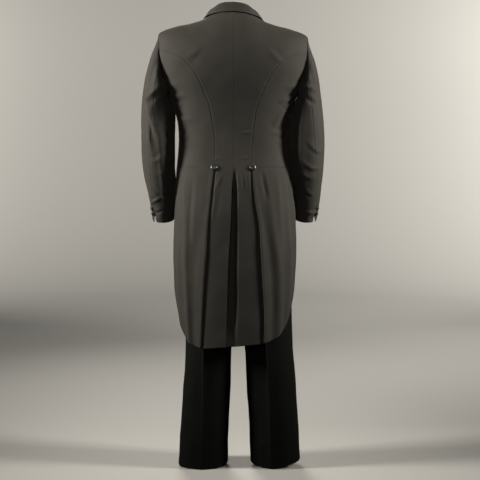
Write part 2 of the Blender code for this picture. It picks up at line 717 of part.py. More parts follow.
def collar():
    """The collar, one piece from gorge to gorge: the stand goes up, turns over and comes down as the fall."""
    half = []
    for share, point, normal, rise in collar_base():
        along_cloth = unit(rise - normal * np.dot(normal, rise))
        foot = point - normal * COAT_CLOTH / 2 + along_cloth * (1.5 * SEAM)
        out = unit(normal - rise * np.dot(normal, rise))
        height = read(COLLAR, "stand", share)
        centre = foot + rise * max(height - COLLAR_FOLD, 0.0022) + out * COLLAR_FOLD
        row = [foot, foot + along_cloth * COLLAR_FOOT]
        for turn in (180, 135, 90, 45, 0):
            angle = math.radians(turn)
            row.append(centre + COLLAR_FOLD * (math.cos(angle) * out + math.sin(angle) * rise))
        edge_out = read(COLLAR, "edge_out", share)
        edge_height = min(read(COLLAR, "edge_height", share), read(SHOULDER, "height", edge_out) - 0.0005)
        edge, facing = faced(coat, arc_at(edge_out, edge_height, share < 0.52), edge_height)
        edge = edge + facing * (COLLAR_LIFT + FOLDED_CLOTH / 2)
        last = row[-1]
        for step in (0.33, 0.67, 1.0):
            bulge = math.sin(math.pi * step) * COLLAR_BULGE * ramp(share, 0.2, 0.5)
            row.append(last + (edge - last) * step + facing * bulge)
        half.append(row)
    half = np.array(half)
    other = half[:0:-1] * np.array((-1.0, 1.0, 1.0))
    return folded(np.concatenate([other, half]), FOLDED_CLOTH)


def pleat_line(side, count):
    name = "left" if side > 0 else "right"
    heights = np.linspace(WAIST_SEAM, read(SKIRT_HEM, "height", 32), count)
    return [(arc_at(read(PLEAT, name, height), height), height) for height in heights]


def skirt_surface(side):
    """The skirt's outside with its soft folds, which start below the waist and deepen towards the hem."""

    def surface(arc, height):
        point = coat(arc, height)
        turn = arc / ROUND
        drop = 1 - ramp(height, 0.42, WAIST_SEAM)
        push = 0.0
        for turn_top, turn_hem, half, depth, top, fold_side in SKIRT_FOLDS:
            if fold_side != side:
                continue
            middle = turn_top + (turn_hem - turn_top) * drop
            push += depth * math.exp(-(((turn - middle) / half) ** 2)) * (1 - ramp(height, top - 0.25, top))
        width = read(COAT, "half_width", height)
        away = unit(np.array((point[0] / width ** 2, point[1] / 0.125 ** 2, 0.0)))
        return point + away * push

    return surface


def skirt(side):
    turns, heights, _ = SKIRT_HEM["height"]
    left = np.array(pleat_line(side, SKIRT_ROWS + 1))[::-1]
    bottom = np.array([(turn * ROUND, height) for turn, height in zip(turns, heights)])
    bottom[0] = left[0]
    share = (turns - turns[0]) / (turns[-1] - turns[0])
    top = np.array([(left[-1][0] + s * (turns[-1] * ROUND - left[-1][0]), WAIST_SEAM) for s in share])
    right = np.linspace(bottom[-1], top[-1], SKIRT_ROWS + 1)
    return skin(skirt_surface(side), patch(bottom, top, left, right), COAT_CLOTH)


def ring_point(turn, ring, side):
    """A point of the sleeve's round: turn is 0 on its outer side and 90 behind."""
    name = "left" if side > 0 else "right"
    outer = np.array((read(SLEEVE, f"outer_{name}", ring), 0.0, read(SLEEVE, "outer_height", ring)))
    inner = np.array((read(SLEEVE, f"inner_{name}", ring), 0.0, read(SLEEVE, "inner_height", ring)))
    behind = np.array((0.0, 1.0, read(SLEEVE, "slope", ring)))
    angle = math.radians(turn)
    middle = (outer + inner) / 2 + np.array((0.0, read(SLEEVE, "behind", ring), 0.0))
    aside = (outer - inner) / 2 * math.cos(angle)
    return middle + aside + behind * read(SLEEVE, "half_depth", ring) * math.sin(angle)


@functools.cache
def armhole_shift(turn):
    """From the first round to the armhole's own edge, a seam's gap outside it."""
    return armhole(turn % 360) + ARM_AWAY * (SEAM + 0.0002) - ring_point(turn, 0, 1)


def sleeve(side):
    """The sleeve's outside: the place is a turn round it and a ring along it."""

    def surface(turn, ring):
        joined = 1 - ramp(ring, 0.0, 2.5)
        return ring_point(turn, ring, side) + armhole_shift(round(turn, 1)) * joined

    return surface


def sleeve_skin(turns, side):
    """A wall over rows of turns, one row for each ring."""
    surface = sleeve(side)
    outer = np.zeros((*turns.shape, 3))
    normal = np.zeros((*turns.shape, 3))
    for i, row in enumerate(turns):
        for j, turn in enumerate(row):
            outer[i, j] = surface(turn, i)
            across = surface(turn + 2, i) - surface(turn - 2, i)
            down = surface(turn, min(i + 0.1, RINGS - 1)) - surface(turn, max(i - 0.1, 0))
            normal[i, j] = unit(np.cross(down, across))
    outer = narrowed(outer, normal)
    inner = outer - COAT_CLOTH * normal
    inner[0] = kept_behind(outer[0], inner[0], -ARM_AWAY)
    return outer, inner, normal


def sleeve_turns(upper):
    rows = []
    for ring in range(RINGS):
        hind = read(SLEEVE, "hind", ring)
        fore = read(SLEEVE, "fore", ring)
        open_by = CUFF_VENT.get(ring, 0.0)
        if upper:
            rows.append(np.linspace(fore - 360, hind - open_by, UPPER_COLUMNS + 1))
        else:
            rows.append(np.linspace(hind + open_by, fore, UNDER_COLUMNS + 1))
    return np.array(rows)


def upper_sleeve(side):
    outer, inner, normal = sleeve_skin(sleeve_turns(True), side)
    flare = normal[-1, -1] * VENT_FLARE
    outer[-1, -1] += flare
    inner[-1, -1] += flare
    return outer, inner


def under_sleeve(side):
    return sleeve_skin(sleeve_turns(False), side)[:2]


def trouser(turn, height, crease):
    """A point on a trouser leg: turn is 0 at the outseam, and 180 at the inside behind, -180 in front."""
    behind = turn >= 0
    share = abs(turn) / 180
    leg_height = min(height, CROTCH)
    half = read(LEG, "half_width", leg_height)
    shift = math.degrees(math.asin(min(max(crease / half, -0.9), 0.9)))
    bent = share + (-shift / 180) * (1 - abs(2 * share - 1))
    angle = math.radians(180 * bent)
    depth = read(LEG, "back" if behind else "front", leg_height)
    x = read(LEG, "inner", leg_height) + half + half * math.cos(angle)
    y = read(LEG, "behind", leg_height) + (depth if behind else -depth) * math.sin(angle)
    ridge = CREASE * math.exp(-(((share - 0.5) / 0.05) ** 2)) * (1 - ramp(height, 0.80, 0.98))
    y += ridge if behind else -ridge
    if height > CROTCH:
        rise = min((height - CROTCH) / (HIP_TOP - CROTCH), 1.0)
        joined = math.sqrt(1 - (1 - rise) ** 2)
        power = 2 / HIP_SQUARENESS
        round_hip = math.radians(90 * share ** 0.75)
        hip_depth = read(HIPS, "back" if behind else "front", height)
        hip_x = read(HIPS, "half_width", height) * max(math.cos(round_hip), 0.0) ** power
        hip_y = (hip_depth if behind else -hip_depth) * math.sin(round_hip) ** power
        hip_y += (ridge if behind else -ridge)
        x = (1 - joined) * x + joined * hip_x
        y = (1 - joined) * y + joined * hip_y
    drop = HEM_SLANT * math.sin(math.radians(turn)) * (1 - ramp(height, HEM_SIDE, 0.20))
    return np.array((x, y, height - drop))


def leg_panel(side, behind):
    name = "left" if side > 0 else "right"
    sign = 1 if behind else -1

    def surface(arc, height):
        turn = sign * min(max(arc / ROUND, 0.0), 180.0)
        return trouser(turn, height, read(CREASE_SHIFT, name, min(height, CROTCH)))

    columns = np.linspace(0, 180, LEG_COLUMNS + 1) * ROUND
    columns[0] += STEP
    columns[-1] -= STEP
    grid = np.array([[(arc, height) for arc in columns] for height in LEG_ROWS])
    return skin(surface, grid, TROUSER_CLOTH, -sign)


def waistband():
    """The band round the top, its left end lapped over its right one at the front."""
    turns = np.linspace(180 - BAND_LAP, -180 - BAND_LAP, BAND_COLUMNS + 1)
    power = 2 / HIP_SQUARENESS
    rows = []
    for height in (BAND_BOTTOM + SEAM, (BAND_BOTTOM + BAND_TOP) / 2, BAND_TOP):
        row = []
        for turn in turns:
            angle = math.radians(turn)
            depth = read(HIPS, "back" if math.cos(angle) > 0 else "front", height)
            x = read(HIPS, "half_width", height) * abs(math.sin(angle)) ** power
            y = depth * abs(math.cos(angle)) ** power
            row.append((math.copysign(x, math.sin(angle)), math.copysign(y, math.cos(angle)), height))
        rows.append(row)
    return np.array(rows)


def lapped_band(outer):
    """Thickness for the band, and the lapped end lifted over the other."""
    normal = np.cross(np.gradient(outer, axis=1), np.gradient(outer, axis=0))
    normal /= np.linalg.norm(normal, axis=2)[:, :, None]
    if (normal[:, :, :2] * outer[:, :, :2]).sum() < 0:
        normal = -normal
    columns = outer.shape[1]
    share = [ramp(k, columns - 6, columns - 3.6) for k in range(columns)]
    lift = (TROUSER_CLOTH + LIE_OFF) * np.array(share)
    outer = outer + normal * lift[None, :, None]
    return outer, outer - normal * TROUSER_CLOTH


def fly():
    """The placket that laps the left front at the fly: a flap on the panel's own points, moved out."""
    rows = []
    for height in np.linspace(FLY_FOOT, BAND_BOTTOM - SEAM, 8):
        down = 1 - ramp(height, FLY_FOOT, FLY_FOOT + FLY_ROUNDING)
        width = FLY_WIDTH - (FLY_WIDTH - FLY_FOOT_WIDTH) * down ** 2
        turns = -180 + 0.5 + np.linspace(0, 1, 4) * width / FLY_WIDTH * FLY_TURN
        rows.append([trouser(turn, height, 0.0) for turn in turns])
    inner = np.array(rows) + np.array((LIE_OFF, -FLY_CLOTH, 0.0))
    return inner - np.array((0.0, FLY_CLOTH, 0.0)), inner


def add_button(name, point, normal, radius, rise, cloth, kind="coat", side=1):
    """A covered button: a low dome turned about its middle."""
    profile = [(out * radius, 0.0, up * rise) for out, up in BUTTON_PROFILE]
    mesh = bpy.data.meshes.new(name)
    mesh.from_pydata(profile, [(k, k + 1) for k in range(len(profile) - 1)], [])
    mirror = np.array((side, 1, 1))
    spot = stand(point * mirror, kind)
    made = place_object(name, mesh, cloth, spot + normal * mirror * SEAM)
    made.rotation_euler = Vector(normal * mirror).to_track_quat("Z", "Y").to_euler()
    turned = made.modifiers.new("turned", "SCREW")
    turned.axis = "Z"
    turned.steps = BUTTON_SIDES
    turned.render_steps = BUTTON_SIDES
    turned.use_merge_vertices = True
    turned.merge_threshold = 0.00005
    turned.use_normal_calculate = True


def add_buttons(cloth):
    out, height, radius, rise = WAIST_BUTTON
    point, normal = faced(coat, arc_at(out, height), height)
    for side, name in ((1, "left"), (-1, "right")):
        add_button(f"waist_button_{name}", point, normal, radius, rise, cloth, side=side)
        surface = sleeve(side)
        for k, (turn, ring) in enumerate(CUFF_BUTTONS):
            across = surface(turn + 3, ring) - surface(turn - 3, ring)
            down = surface(turn, ring + 0.2) - surface(turn, ring - 0.2)
            facing = unit(np.cross(down, across))
            spot = surface(turn, ring) + facing * LIE_OFF
            wide, high = CUFF_BUTTON_SIZE
            add_button(f"cuff_button_{name}_{k + 1}", spot, facing, wide, high, cloth, "sleeve", side)
    out, height, radius, rise = FRONT_BUTTON
    spot = closing_surface(1)(arc_at(out, height, behind=False), height)
    add_button("front_button", spot, np.array((0.0, -1.0, 0.0)), radius, rise, cloth)


def clear_scene():
    for old in list(bpy.data.objects):
        bpy.data.objects.remove(old, do_unlink=True)


def main():
    clear_scene()
    collection = bpy.data.collections.new("tailcoat_suit")
    bpy.context.scene.collection.children.link(collection)
    collection.objects.link(bpy.data.objects.new("tailcoat_suit", None))
    worsted = material("worsted wool", (0.012, 0.012, 0.011), 0.85)
    trouser_wool = material("trouser worsted", (0.006, 0.007, 0.006), 0.85)
    satin = material("button satin", (0.008, 0.008, 0.010), 0.35)
    for side, name in ((1, "left"), (-1, "right")):
        add_wall(f"back_{name}", *back_panel(side), worsted, side=side)
        add_wall(f"side_body_{name}", *side_panel(), worsted, side=side)
        add_wall(f"forepart_{name}", *front_panel(side), worsted, side=side)
        add_wall(f"lapel_{name}", *lapel(side), worsted, side=side)
        add_wall(f"skirt_{name}", *skirt(side), worsted, side=side)
        add_wall(f"upper_sleeve_{name}", *upper_sleeve(side), worsted, "sleeve", side)
        add_wall(f"under_sleeve_{name}", *under_sleeve(side), worsted, "sleeve", side)
        add_wall(f"trouser_back_{name}", *leg_panel(side, True), trouser_wool, "trousers", side)
        add_wall(f"trouser_front_{name}", *leg_panel(side, False), trouser_wool, "trousers", side)
    add_wall("collar", *collar(), worsted)
    band = waistband()
    add_wall("trouser_waistband", *lapped_band(band), trouser_wool, "trousers")
    add_wall("trouser_fly", *fly(), trouser_wool, "trousers")
    add_buttons(satin)


main()
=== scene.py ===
"""Looks of a black tailcoat and its trousers, in the shape they keep when worn, hollow and with no wearer.

Each cloth piece is a thin shell on the form of its solid: the same sections and seams, drawn finer, with its
folds, its edges turned in at the seams, and its weave. x grows towards the left and y towards the back.
Lengths are in metres. Heights are above the ground, which the trouser hems hang just clear of.
"""

import math

import bpy
import numpy as np
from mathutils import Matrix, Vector


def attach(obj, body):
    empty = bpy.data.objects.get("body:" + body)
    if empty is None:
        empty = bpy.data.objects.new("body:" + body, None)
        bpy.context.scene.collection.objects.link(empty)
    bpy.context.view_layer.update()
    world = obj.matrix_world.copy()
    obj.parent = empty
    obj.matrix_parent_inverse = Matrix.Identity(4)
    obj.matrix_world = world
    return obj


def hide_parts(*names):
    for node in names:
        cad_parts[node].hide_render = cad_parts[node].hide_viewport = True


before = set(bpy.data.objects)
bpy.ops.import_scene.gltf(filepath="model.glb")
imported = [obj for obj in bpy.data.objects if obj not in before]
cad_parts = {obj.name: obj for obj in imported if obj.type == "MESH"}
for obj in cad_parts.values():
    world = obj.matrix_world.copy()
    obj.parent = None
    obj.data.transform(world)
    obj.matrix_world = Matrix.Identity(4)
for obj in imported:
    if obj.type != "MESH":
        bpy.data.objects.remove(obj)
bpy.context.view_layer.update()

MM = 0.001
SIDE_NAMES = {1: "left", -1: "right"}

# Cloth: how thick it is, and how far apart two pieces stand at their seam
COAT_CLOTH = 0.0022
TROUSER_CLOTH = 0.0018
FOLDED_CLOTH = 0.0016
SEAM = 0.0003

# Heights
HELD_HEIGHT = 1.420     # where the origin is
WAIST_SEAM = 0.956
VENT_TOP = 0.950
BACK_NECK = 1.442
BLADES = 1.27           # where the coat starts to bend over to the shoulders, behind and then in front
CHEST = 1.25
LAPEL_FOOT = 1.048
GORGE = 1.375
CROTCH = 0.775
HIP_TOP = 0.93          # where both legs have become one form
BAND_BOTTOM = 1.000
BAND_TOP = 1.038
HEM_SIDE = 0.034
HEM_SLANT = 0.0095      # how much lower a trouser hem is behind than at the side
HEM_SLANT_TOP = 0.20
TAIL_FOOT = 0.410

# The coat's form
SQUARENESS = 2.3        # of its sections, where 2 is an ellipse
SHOULDER_SQUARENESS = 2.2
ROUND = 0.0026          # metres round the waist for each degree
NECK_POINT = 0.066
NECKLINE_SPREAD = 0.8   # under 1, so that its points lie closer towards the neck point
UNDERARM_SEAM = 104     # degrees

# The tails beside the pleats and the centre vent
PLEAT_TOP = 0.0585
PLEAT_DEPTH = 0.003
PLEAT_NEAR = (-0.012, -0.003)   # out from the pleat's edge: where the tail sinks by the pleat's depth
PLEAT_FURTHER = (0.0, 0.014)    # and where it sinks on, by this many times that depth
PLEAT_GROWTH = 1.4
RECESS = 0.003          # how deep the right tail lies beside the vent, and how much deeper lower down
RECESS_BELOW = 0.016
RECESS_TOP = (0.87, 0.945)
RECESS_FOOT = (0.42, 0.60)
RECESS_ACROSS = (0.001, 0.016)

# The closing: how far the left front stands off and the right one lies in, and where
LAP = 0.0018
LAP_ACROSS = (0.020, 0.045)
LAP_FOOT = (0.948, 0.960)
LAP_TOP = (1.042, 1.075)

# Skirts
SKIRT_BACK = 32.0       # degrees
SKIRT_FRONT = 178.4     # degrees
SKIRT_DEPTH = 0.125
FOLDS_LOW = 0.42        # the height at which a fold has reached its turn at the hem
FOLDS_FADE = 0.25       # over what height a fold begins
PLEAT_ROLL = 0.0014     # how far the pleat's folded edge stands proud, how far it is tucked in, and how widely
PLEAT_TUCK = 0.0008
PLEAT_ROLL_WIDTH = 0.008
PLEAT_ROLL_FOOT = (0.0, 0.05)   # shares of the pleat's length over which the roll begins and ends
PLEAT_ROLL_TOP = (0.97, 1.0)

# Armholes
ARM_SHOULDER = 20.0     # degrees from the top, behind, where the edge turns straight to the shoulder
ARM_BACK_SEAM = 62      # degrees down from the top, behind
ARM_UNDER_SEAM = 205    # degrees down from the top, going round the back
ARM_CENTRE = (-0.003, 1.28)     # how far behind, and the height
ARM_OUT = 0.216
ARM_LEAN = 0.138        # how much further out the armhole is for each metre up
ARM_YAW = 0.15          # and for each metre back
ARM_HALF_HEIGHT = 0.095
ARM_HALF_DEPTH = 0.0665
ARM_DEGREES = np.arange(361.0)
ARM_SEARCH = (0.02, 0.16)       # the edge is found between these distances from the middle, by halving
ARM_HALVINGS = 40
ARM_MARGIN = 0.001      # a share of a piece's side, past the seam's end
ALMOST = 1e-6           # degrees that keep a full turn from counting as none

# Sleeves
RINGS_ALONG = 13
SLEEVE_GAP = SEAM + 0.0002
SLEEVE_JOIN = 2.5       # rings over which the sleeve leaves the armhole's own shape
SLEEVE_SPAN = (2, 0.1)  # degrees and rings to either side, for the way that its cloth faces
CUFF_VENT = ((11, 12, 13), (0.0, 2.5, 6.5))     # rings, and degrees by which the vent's edges draw back
VENT_FLARE = 0.003
VENT_FLARE_WIDTH = 0.02
VENT_FLARE_RINGS = (12.0, 13.0)
RIGHT_ARM_ASIDE = 0.009
ARM_ASIDE_HEIGHTS = (0.80, 1.0)

# Lapels and collar
LAPEL_LENGTH = 0.33
LAPEL_CLOSING = 1.25    # over 1, so that its rows lie closer towards the top
LAPEL_START = (0.005, -0.0006)  # out and up from the roll line, where the lying part starts
LAPEL_TURN = ((0.4, -1.1), (1.9, -0.7), (2.9, 0.6), (2.2, 2.0), (0.0, 2.6))     # millimetres inwards and out
LAPEL_LIFT = 0.0031
LAPEL_STEP = 0.0035
COLLAR_ROWS = 61
COLLAR_STEP = 0.0025
COLLAR_GAP = 1.5 * SEAM
COLLAR_FOOT = 0.0014
COLLAR_FOLD = 0.0019
COLLAR_LIFT = 0.0039
COLLAR_BELOW = 0.0005   # how far under the shoulder's crest the fall's edge stays
LEAST_STAND = 0.0022
NECK_SHARE = 5 / 8      # of the collar's half length, from its middle to the neck point
FALL_BEHIND = 0.52      # and to where its fall comes over to the front
RISE_BEHIND = (0.0, -0.12, 1.0)         # the way that the stand goes up, behind and then at the gorge
RISE_AT_GORGE = (-0.93, 0.1, 0.36)
RISE_CHANGE = (0.45, 1.0)
FALL_STEPS = (0.33, 0.67, 1.0)
FALL_BULGE = 0.004
FALL_BULGE_START = (0.2, 0.5)
FLAT_COLUMN = -4        # counted from the free edge: one that lies flat on the coat

# Trousers
HIP_SQUARENESS = 2.2
HIP_SPREAD = 0.75       # under 1, so that the hips' turns run ahead beside the outseam
HIP_HALF = 0.19
CREASE = 0.0035
CREASE_WIDTH = 0.05     # a share of a panel's width
CREASE_FADE = (0.80, 0.98)
MOST_SHIFT = 0.9        # of a crease, as a share of the leg's half width
PRESSED_STEPS = np.array((-0.020, -0.012, -0.006, 0.0, 0.006, 0.012, 0.020))   # shares, from the crease
PRESSED_REACH = 0.028
BAND_LAP = 7.0          # degrees
BAND_POINTS = 241
BAND_ROWS = 11
BAND_LIFT = TROUSER_CLOTH + 0.0004
BAND_LIFTED = (31 / 36, 33.4 / 36)      # shares of its length over which the lapped end rises
FLY_WIDTH = 0.036
FLY_FOOT = 0.862
FLY_FOOT_WIDTH = 0.008
FLY_ROUNDING = 0.04     # the height over which its foot narrows
FLY_TURNS = (0.5, 21.5)         # degrees from the middle to its edge, and across it
FLY_OFF = (0.0004, -0.0012, 0.0)
FLY_CLOTH = 0.0012
FLY_GRID = (50, 14)

# How finely the cloth is drawn
COAT_STEP = 0.0042
LEG_STEP = 0.0055
EDGE_STEPS = (0.0009, 0.0021, 0.0036)
STEP = 0.0004           # for slopes taken from two near points
SHARP = 50              # degrees
TRIAL_POINTS = 60
SHARE_DIGITS = 7
MARK_DIGITS = 6
PIECE_SIZES = {         # rough width and length, for the number of columns and rows
    "back": (0.24, 0.50),
    "side_body": (0.15, 0.34),
    "forepart": (0.20, 0.53),
    "skirt": (0.42, 0.54),
    "upper_sleeve": (0.28, 0.60),
    "under_sleeve": (0.19, 0.60),
    "trouser": (0.25, BAND_BOTTOM - HEM_SIDE),
}

# Folds, turned edges and the lie of worn cloth
FOLD_POINTS = 11
FOLD_REACH = 3.4        # in half widths of the fold, as are the next two
HOLLOW_PLACE = 1.9
HOLLOW_WIDTH = 0.9
HOLLOW = 0.55           # depth as a share of the rise, times the fold's steepness and the next number together
HOLLOW_LEAST = 0.4
FOLD_TAPER = 0.8
MOST_SWAY = 1.2
EDGE_FINISH = {         # millimetres: depth and width of the turned edge, and how far its turning shows
    "seam": (0.62, 1.0, 0.16),
    "pleat": (0.7, 1.3, 0.35),
    "hem": (0.6, 1.2, 0.30),
    "edge": (0.6, 1.3, 0.15),
    "plain": (0.0, 1.0, 0.0),
}
TURNING_MIDDLE = 5.0 * MM       # from the edge to the middle of the turning, and its half width
TURNING_HALF = 4.0 * MM
FOLDED_UNEVEN = 0.5     # how much of the unevenness doubled cloth has
UNEVEN = (              # the way and number of waves a metre, size in millimetres, phase
    ((3.1, 2.2, 4.7), 0.45, 0.4),
    ((-5.2, 3.9, 6.8), 0.32, 2.1),
    ((9.7, -6.3, 5.1), 0.22, 4.0),
    ((-7.4, 8.8, -13.0), 0.16, 1.3),
    ((17.0, 9.0, 11.5), 0.10, 5.2),
)


def table(columns, *rows):
    """A short table's columns by name, each with its slope. The first column grows from row to row."""
    values = np.array(rows, float)
    places = values[:, 0]
    names = columns.split()
    return {name: (places, values[:, k], np.gradient(values[:, k], places)) for k, name in enumerate(names)}


COAT = table(
    "height half_width back front",
    (0.39, 0.1730, 0.1170, -0.1250),
    (0.45, 0.1765, 0.1200, -0.1250),
    (0.52, 0.1815, 0.1235, -0.1260),
    (0.58, 0.1870, 0.1260, -0.1270),
    (0.65, 0.1920, 0.1280, -0.1280),
    (0.76, 0.1915, 0.1280, -0.1300),
    (0.81, 0.1905, 0.1270, -0.1305),
    (0.865, 0.1880, 0.1225, -0.1300),
    (0.902, 0.1855, 0.1180, -0.1285),
    (0.943, 0.1810, 0.1105, -0.1260),
    (0.981, 0.1745, 0.1030, -0.1230),
    (1.019, 0.1715, 0.0980, -0.1210),
    (1.057, 0.1715, 0.0960, -0.1200),
    (1.107, 0.1770, 0.0990, -0.1210),
    (1.132, 0.1830, 0.1020, -0.1225),
    (1.161, 0.1905, 0.1060, -0.1240),
    (1.186, 0.2030, 0.1100, -0.1255),
    (1.21, 0.2150, 0.1140, -0.1270),
    (1.25, 0.2310, 0.1190, -0.1290),
    (1.29, 0.2380, 0.1210, -0.1300),
    (1.35, 0.2380, 0.1210, -0.1300),
)
SHOULDER = table(
    "out height behind",
    (0.000, 1.4620, 0.0120),
    (0.030, 1.4560, 0.0120),
    (0.050, 1.4460, 0.0120),
    (0.066, 1.4360, 0.0110),
    (0.087, 1.4225, 0.0100),
    (0.128, 1.4060, 0.0090),
    (0.181, 1.3935, 0.0080),
    (0.2195, 1.3800, 0.0060),
    (0.229, 1.3740, 0.0060),
    (0.245, 1.3600, 0.0060),
)
BACK_NECKLINE = table("out height", (0.0, BACK_NECK), (0.025, 1.4405), (0.045, 1.4380), (0.058, 1.4368))
SIDE_BACK_SEAM = (  # out, height: from the waist seam up to the armhole
    (0.0550, WAIST_SEAM),
    (0.0555, 1.016),
    (0.0590, 1.070),
    (0.0647, 1.104),
    (0.0710, 1.141),
    (0.0875, 1.184),
    (0.1010, 1.217),
    (0.1170, 1.2475),
    (0.1390, 1.275),
    (0.1750, 1.300),
)
TAIL = table(  # the tail's tucked outer edge, and its edge at the centre vent: that on top and that below
    "height tucked over under",
    (0.410, 0.1005, 0.0235, -0.0350),
    (0.440, 0.1140, 0.0228, -0.0380),
    (0.500, 0.1220, 0.0208, -0.0400),
    (0.660, 0.1170, 0.0160, -0.0400),
    (0.766, 0.1100, 0.0100, -0.0400),
    (0.860, 0.1010, 0.0058, -0.0380),
    (0.905, 0.0940, 0.0038, -0.0300),
    (0.930, 0.0730, 0.0020, -0.0160),
    (0.942, 0.0610, 0.0010, -0.0060),
    (0.950, 0.0560, 0.0000, 0.0000),
    (0.956, 0.0550, 0.0000, 0.0000),
)
PLEAT = table(  # where each side pleat's edge lies on the back
    "height left right",
    (0.392, 0.1020, 0.0925),
    (0.480, 0.0990, 0.0950),
    (0.550, 0.0955, 0.0930),
    (0.620, 0.0915, 0.0885),
    (0.700, 0.0850, 0.0840),
    (0.784, 0.0795, 0.0785),
    (0.857, 0.0710, 0.0665),
    (0.920, 0.0640, 0.0600),
    (0.956, PLEAT_TOP, PLEAT_TOP),
)
TAIL_HANG = table(      # how far each tail hangs in from the skirts beside it
    "height left right",
    (0.40, 0.004, 0.006),
    (0.60, 0.005, 0.007),
    (0.80, 0.003, 0.005),
    (0.94, 0.000, 0.000),
)
SKIRT_HEM = table(  # the skirt's lower edge, from the pleat round the side to the front
    "turn height",
    (SKIRT_BACK, 0.4130),
    (38, 0.4160),
    (45, 0.4230),
    (53, 0.4340),
    (61, 0.4520),
    (66, 0.4710),
    (71, 0.4930),
    (75, 0.5200),
    (79, 0.5560),
    (85, 0.6000),
    (94, 0.6450),
    (106, 0.6920),
    (120, 0.7520),
    (134, 0.8080),
    (147, 0.8580),
    (160, 0.9030),
    (171, 0.9360),
    (SKIRT_FRONT, 0.9485),
)
SKIRT_FOLDS = (  # turn at the top and at the hem, half width in degrees, depth outwards, top height, side
    (24.0, 40.0, 4.5, -0.0035, 0.940, -1),
    (32.0, 50.0, 5.0, 0.0040, 0.900, -1),
    (27.0, 42.0, 5.0, -0.0025, 0.880, 1),
    (46.0, 50.0, 4.0, 0.0050, 0.940, 1),
    (60.0, 68.0, 5.0, 0.0035, 0.900, 1),
    (58.0, 66.0, 5.5, 0.0040, 0.880, -1),
    (84.0, 80.0, 6.0, 0.0040, 0.860, 1),
    (80.0, 76.0, 6.0, 0.0035, 0.860, -1),
    (108.0, 98.0, 6.0, -0.0030, 0.900, 1),
    (112.0, 100.0, 7.0, -0.0030, 0.900, -1),
)
FRONT_EDGE = (  # out, height: from the waist seam round the button and up the roll line
    (0.0080, WAIST_SEAM),
    (0.0010, 0.9620),
    (-0.0080, 0.9710),
    (-0.0130, 0.9830),
    (-0.0135, 0.9970),
    (-0.0100, 1.0150),
    (-0.0030, 1.0330),
    (0.0045, LAPEL_FOOT),
)
ROLL_LINE = ((0.0045, LAPEL_FOOT), (0.0175, 1.120), (0.0305, 1.200), (0.0430, 1.280), (0.0530, 1.340),
             (0.0573, 1.370))
FRONT_NECKLINE = ((0.0573, 1.370), (0.0580, GORGE), (0.0630, 1.405), (NECK_POINT, 1.4360))
FRONT_LINES = (FRONT_EDGE, ROLL_LINE, FRONT_NECKLINE[:2], FRONT_NECKLINE[1:])
LAPEL_EDGE = ((0.0130, 1.047), (0.0450, 1.095), (0.0750, 1.155), (0.0980, 1.215), (0.1150, 1.275),
              (0.1280, 1.330), (0.1385, 1.374))
NOTCH = (0.0995, 1.3345)
LAPEL_TOP = (0.0625, 1.3655)
COLLAR = table(  # share of the way from the middle of the back to the gorge: stand, and the fall's edge
    "share stand edge_out edge_height",
    (0.00, 0.0265, 0.0000, 1.4350),
    (0.20, 0.0260, 0.0300, 1.4335),
    (0.38, 0.0230, 0.0540, 1.4300),
    (0.50, 0.0180, 0.0780, 1.4240),
    (0.58, 0.0150, 0.0930, 1.4160),
    (0.75, 0.0080, 0.1080, 1.3900),
    (0.90, 0.0040, 0.1075, 1.3560),
    (1.00, 0.0030, 0.1010, 1.3400),
)
SLEEVE = table(  # its outer and inner sides seen from behind, its depth and its seams' turns, ring by ring
    "ring outer_left outer_right outer_height inner_left inner_right inner_height"
    " behind half_depth slope hind fore",
    (0, 0.2297, 0.2297, 1.3735, 0.2030, 0.2030, 1.1860, -0.003, 0.0665, 0.00, 95, 212),
    (1, 0.2365, 0.2355, 1.3470, 0.2040, 0.2040, 1.1825, 0.000, 0.0675, 0.00, 94, 214),
    (2, 0.2560, 0.2510, 1.3000, 0.2025, 0.2025, 1.1760, 0.001, 0.0690, 0.00, 90, 216),
    (3, 0.2700, 0.2620, 1.2450, 0.1985, 0.1980, 1.1650, 0.002, 0.0705, 0.00, 86, 218),
    (4, 0.2795, 0.2715, 1.1850, 0.1925, 0.1915, 1.1500, 0.003, 0.0710, 0.00, 82, 220),
    (5, 0.2850, 0.2780, 1.1300, 0.1850, 0.1835, 1.1250, 0.004, 0.0700, 0.00, 77, 222),
    (6, 0.2870, 0.2825, 1.0750, 0.1820, 0.1747, 1.0760, 0.006, 0.0670, 0.00, 72, 224),
    (7, 0.2865, 0.2840, 1.0200, 0.1825, 0.1732, 1.0240, 0.006, 0.0640, -0.04, 67, 226),
    (8, 0.2825, 0.2815, 0.9650, 0.1840, 0.1787, 0.9710, 0.002, 0.0610, -0.10, 62, 228),
    (9, 0.2750, 0.2750, 0.9100, 0.1835, 0.1860, 0.9170, -0.008, 0.0585, -0.16, 57, 230),
    (10, 0.2685, 0.2685, 0.8650, 0.1860, 0.1890, 0.8700, -0.020, 0.0565, -0.19, 53, 232),
    (11, 0.2640, 0.2640, 0.8400, 0.1868, 0.1892, 0.8430, -0.028, 0.0555, -0.20, 51, 233),
    (12, 0.2605, 0.2605, 0.8160, 0.1870, 0.1885, 0.8180, -0.035, 0.0550, -0.20, 50, 234),
    (13, 0.2575, 0.2575, 0.7930, 0.1870, 0.1870, 0.7930, -0.042, 0.0550, -0.20, 49, 235),
)
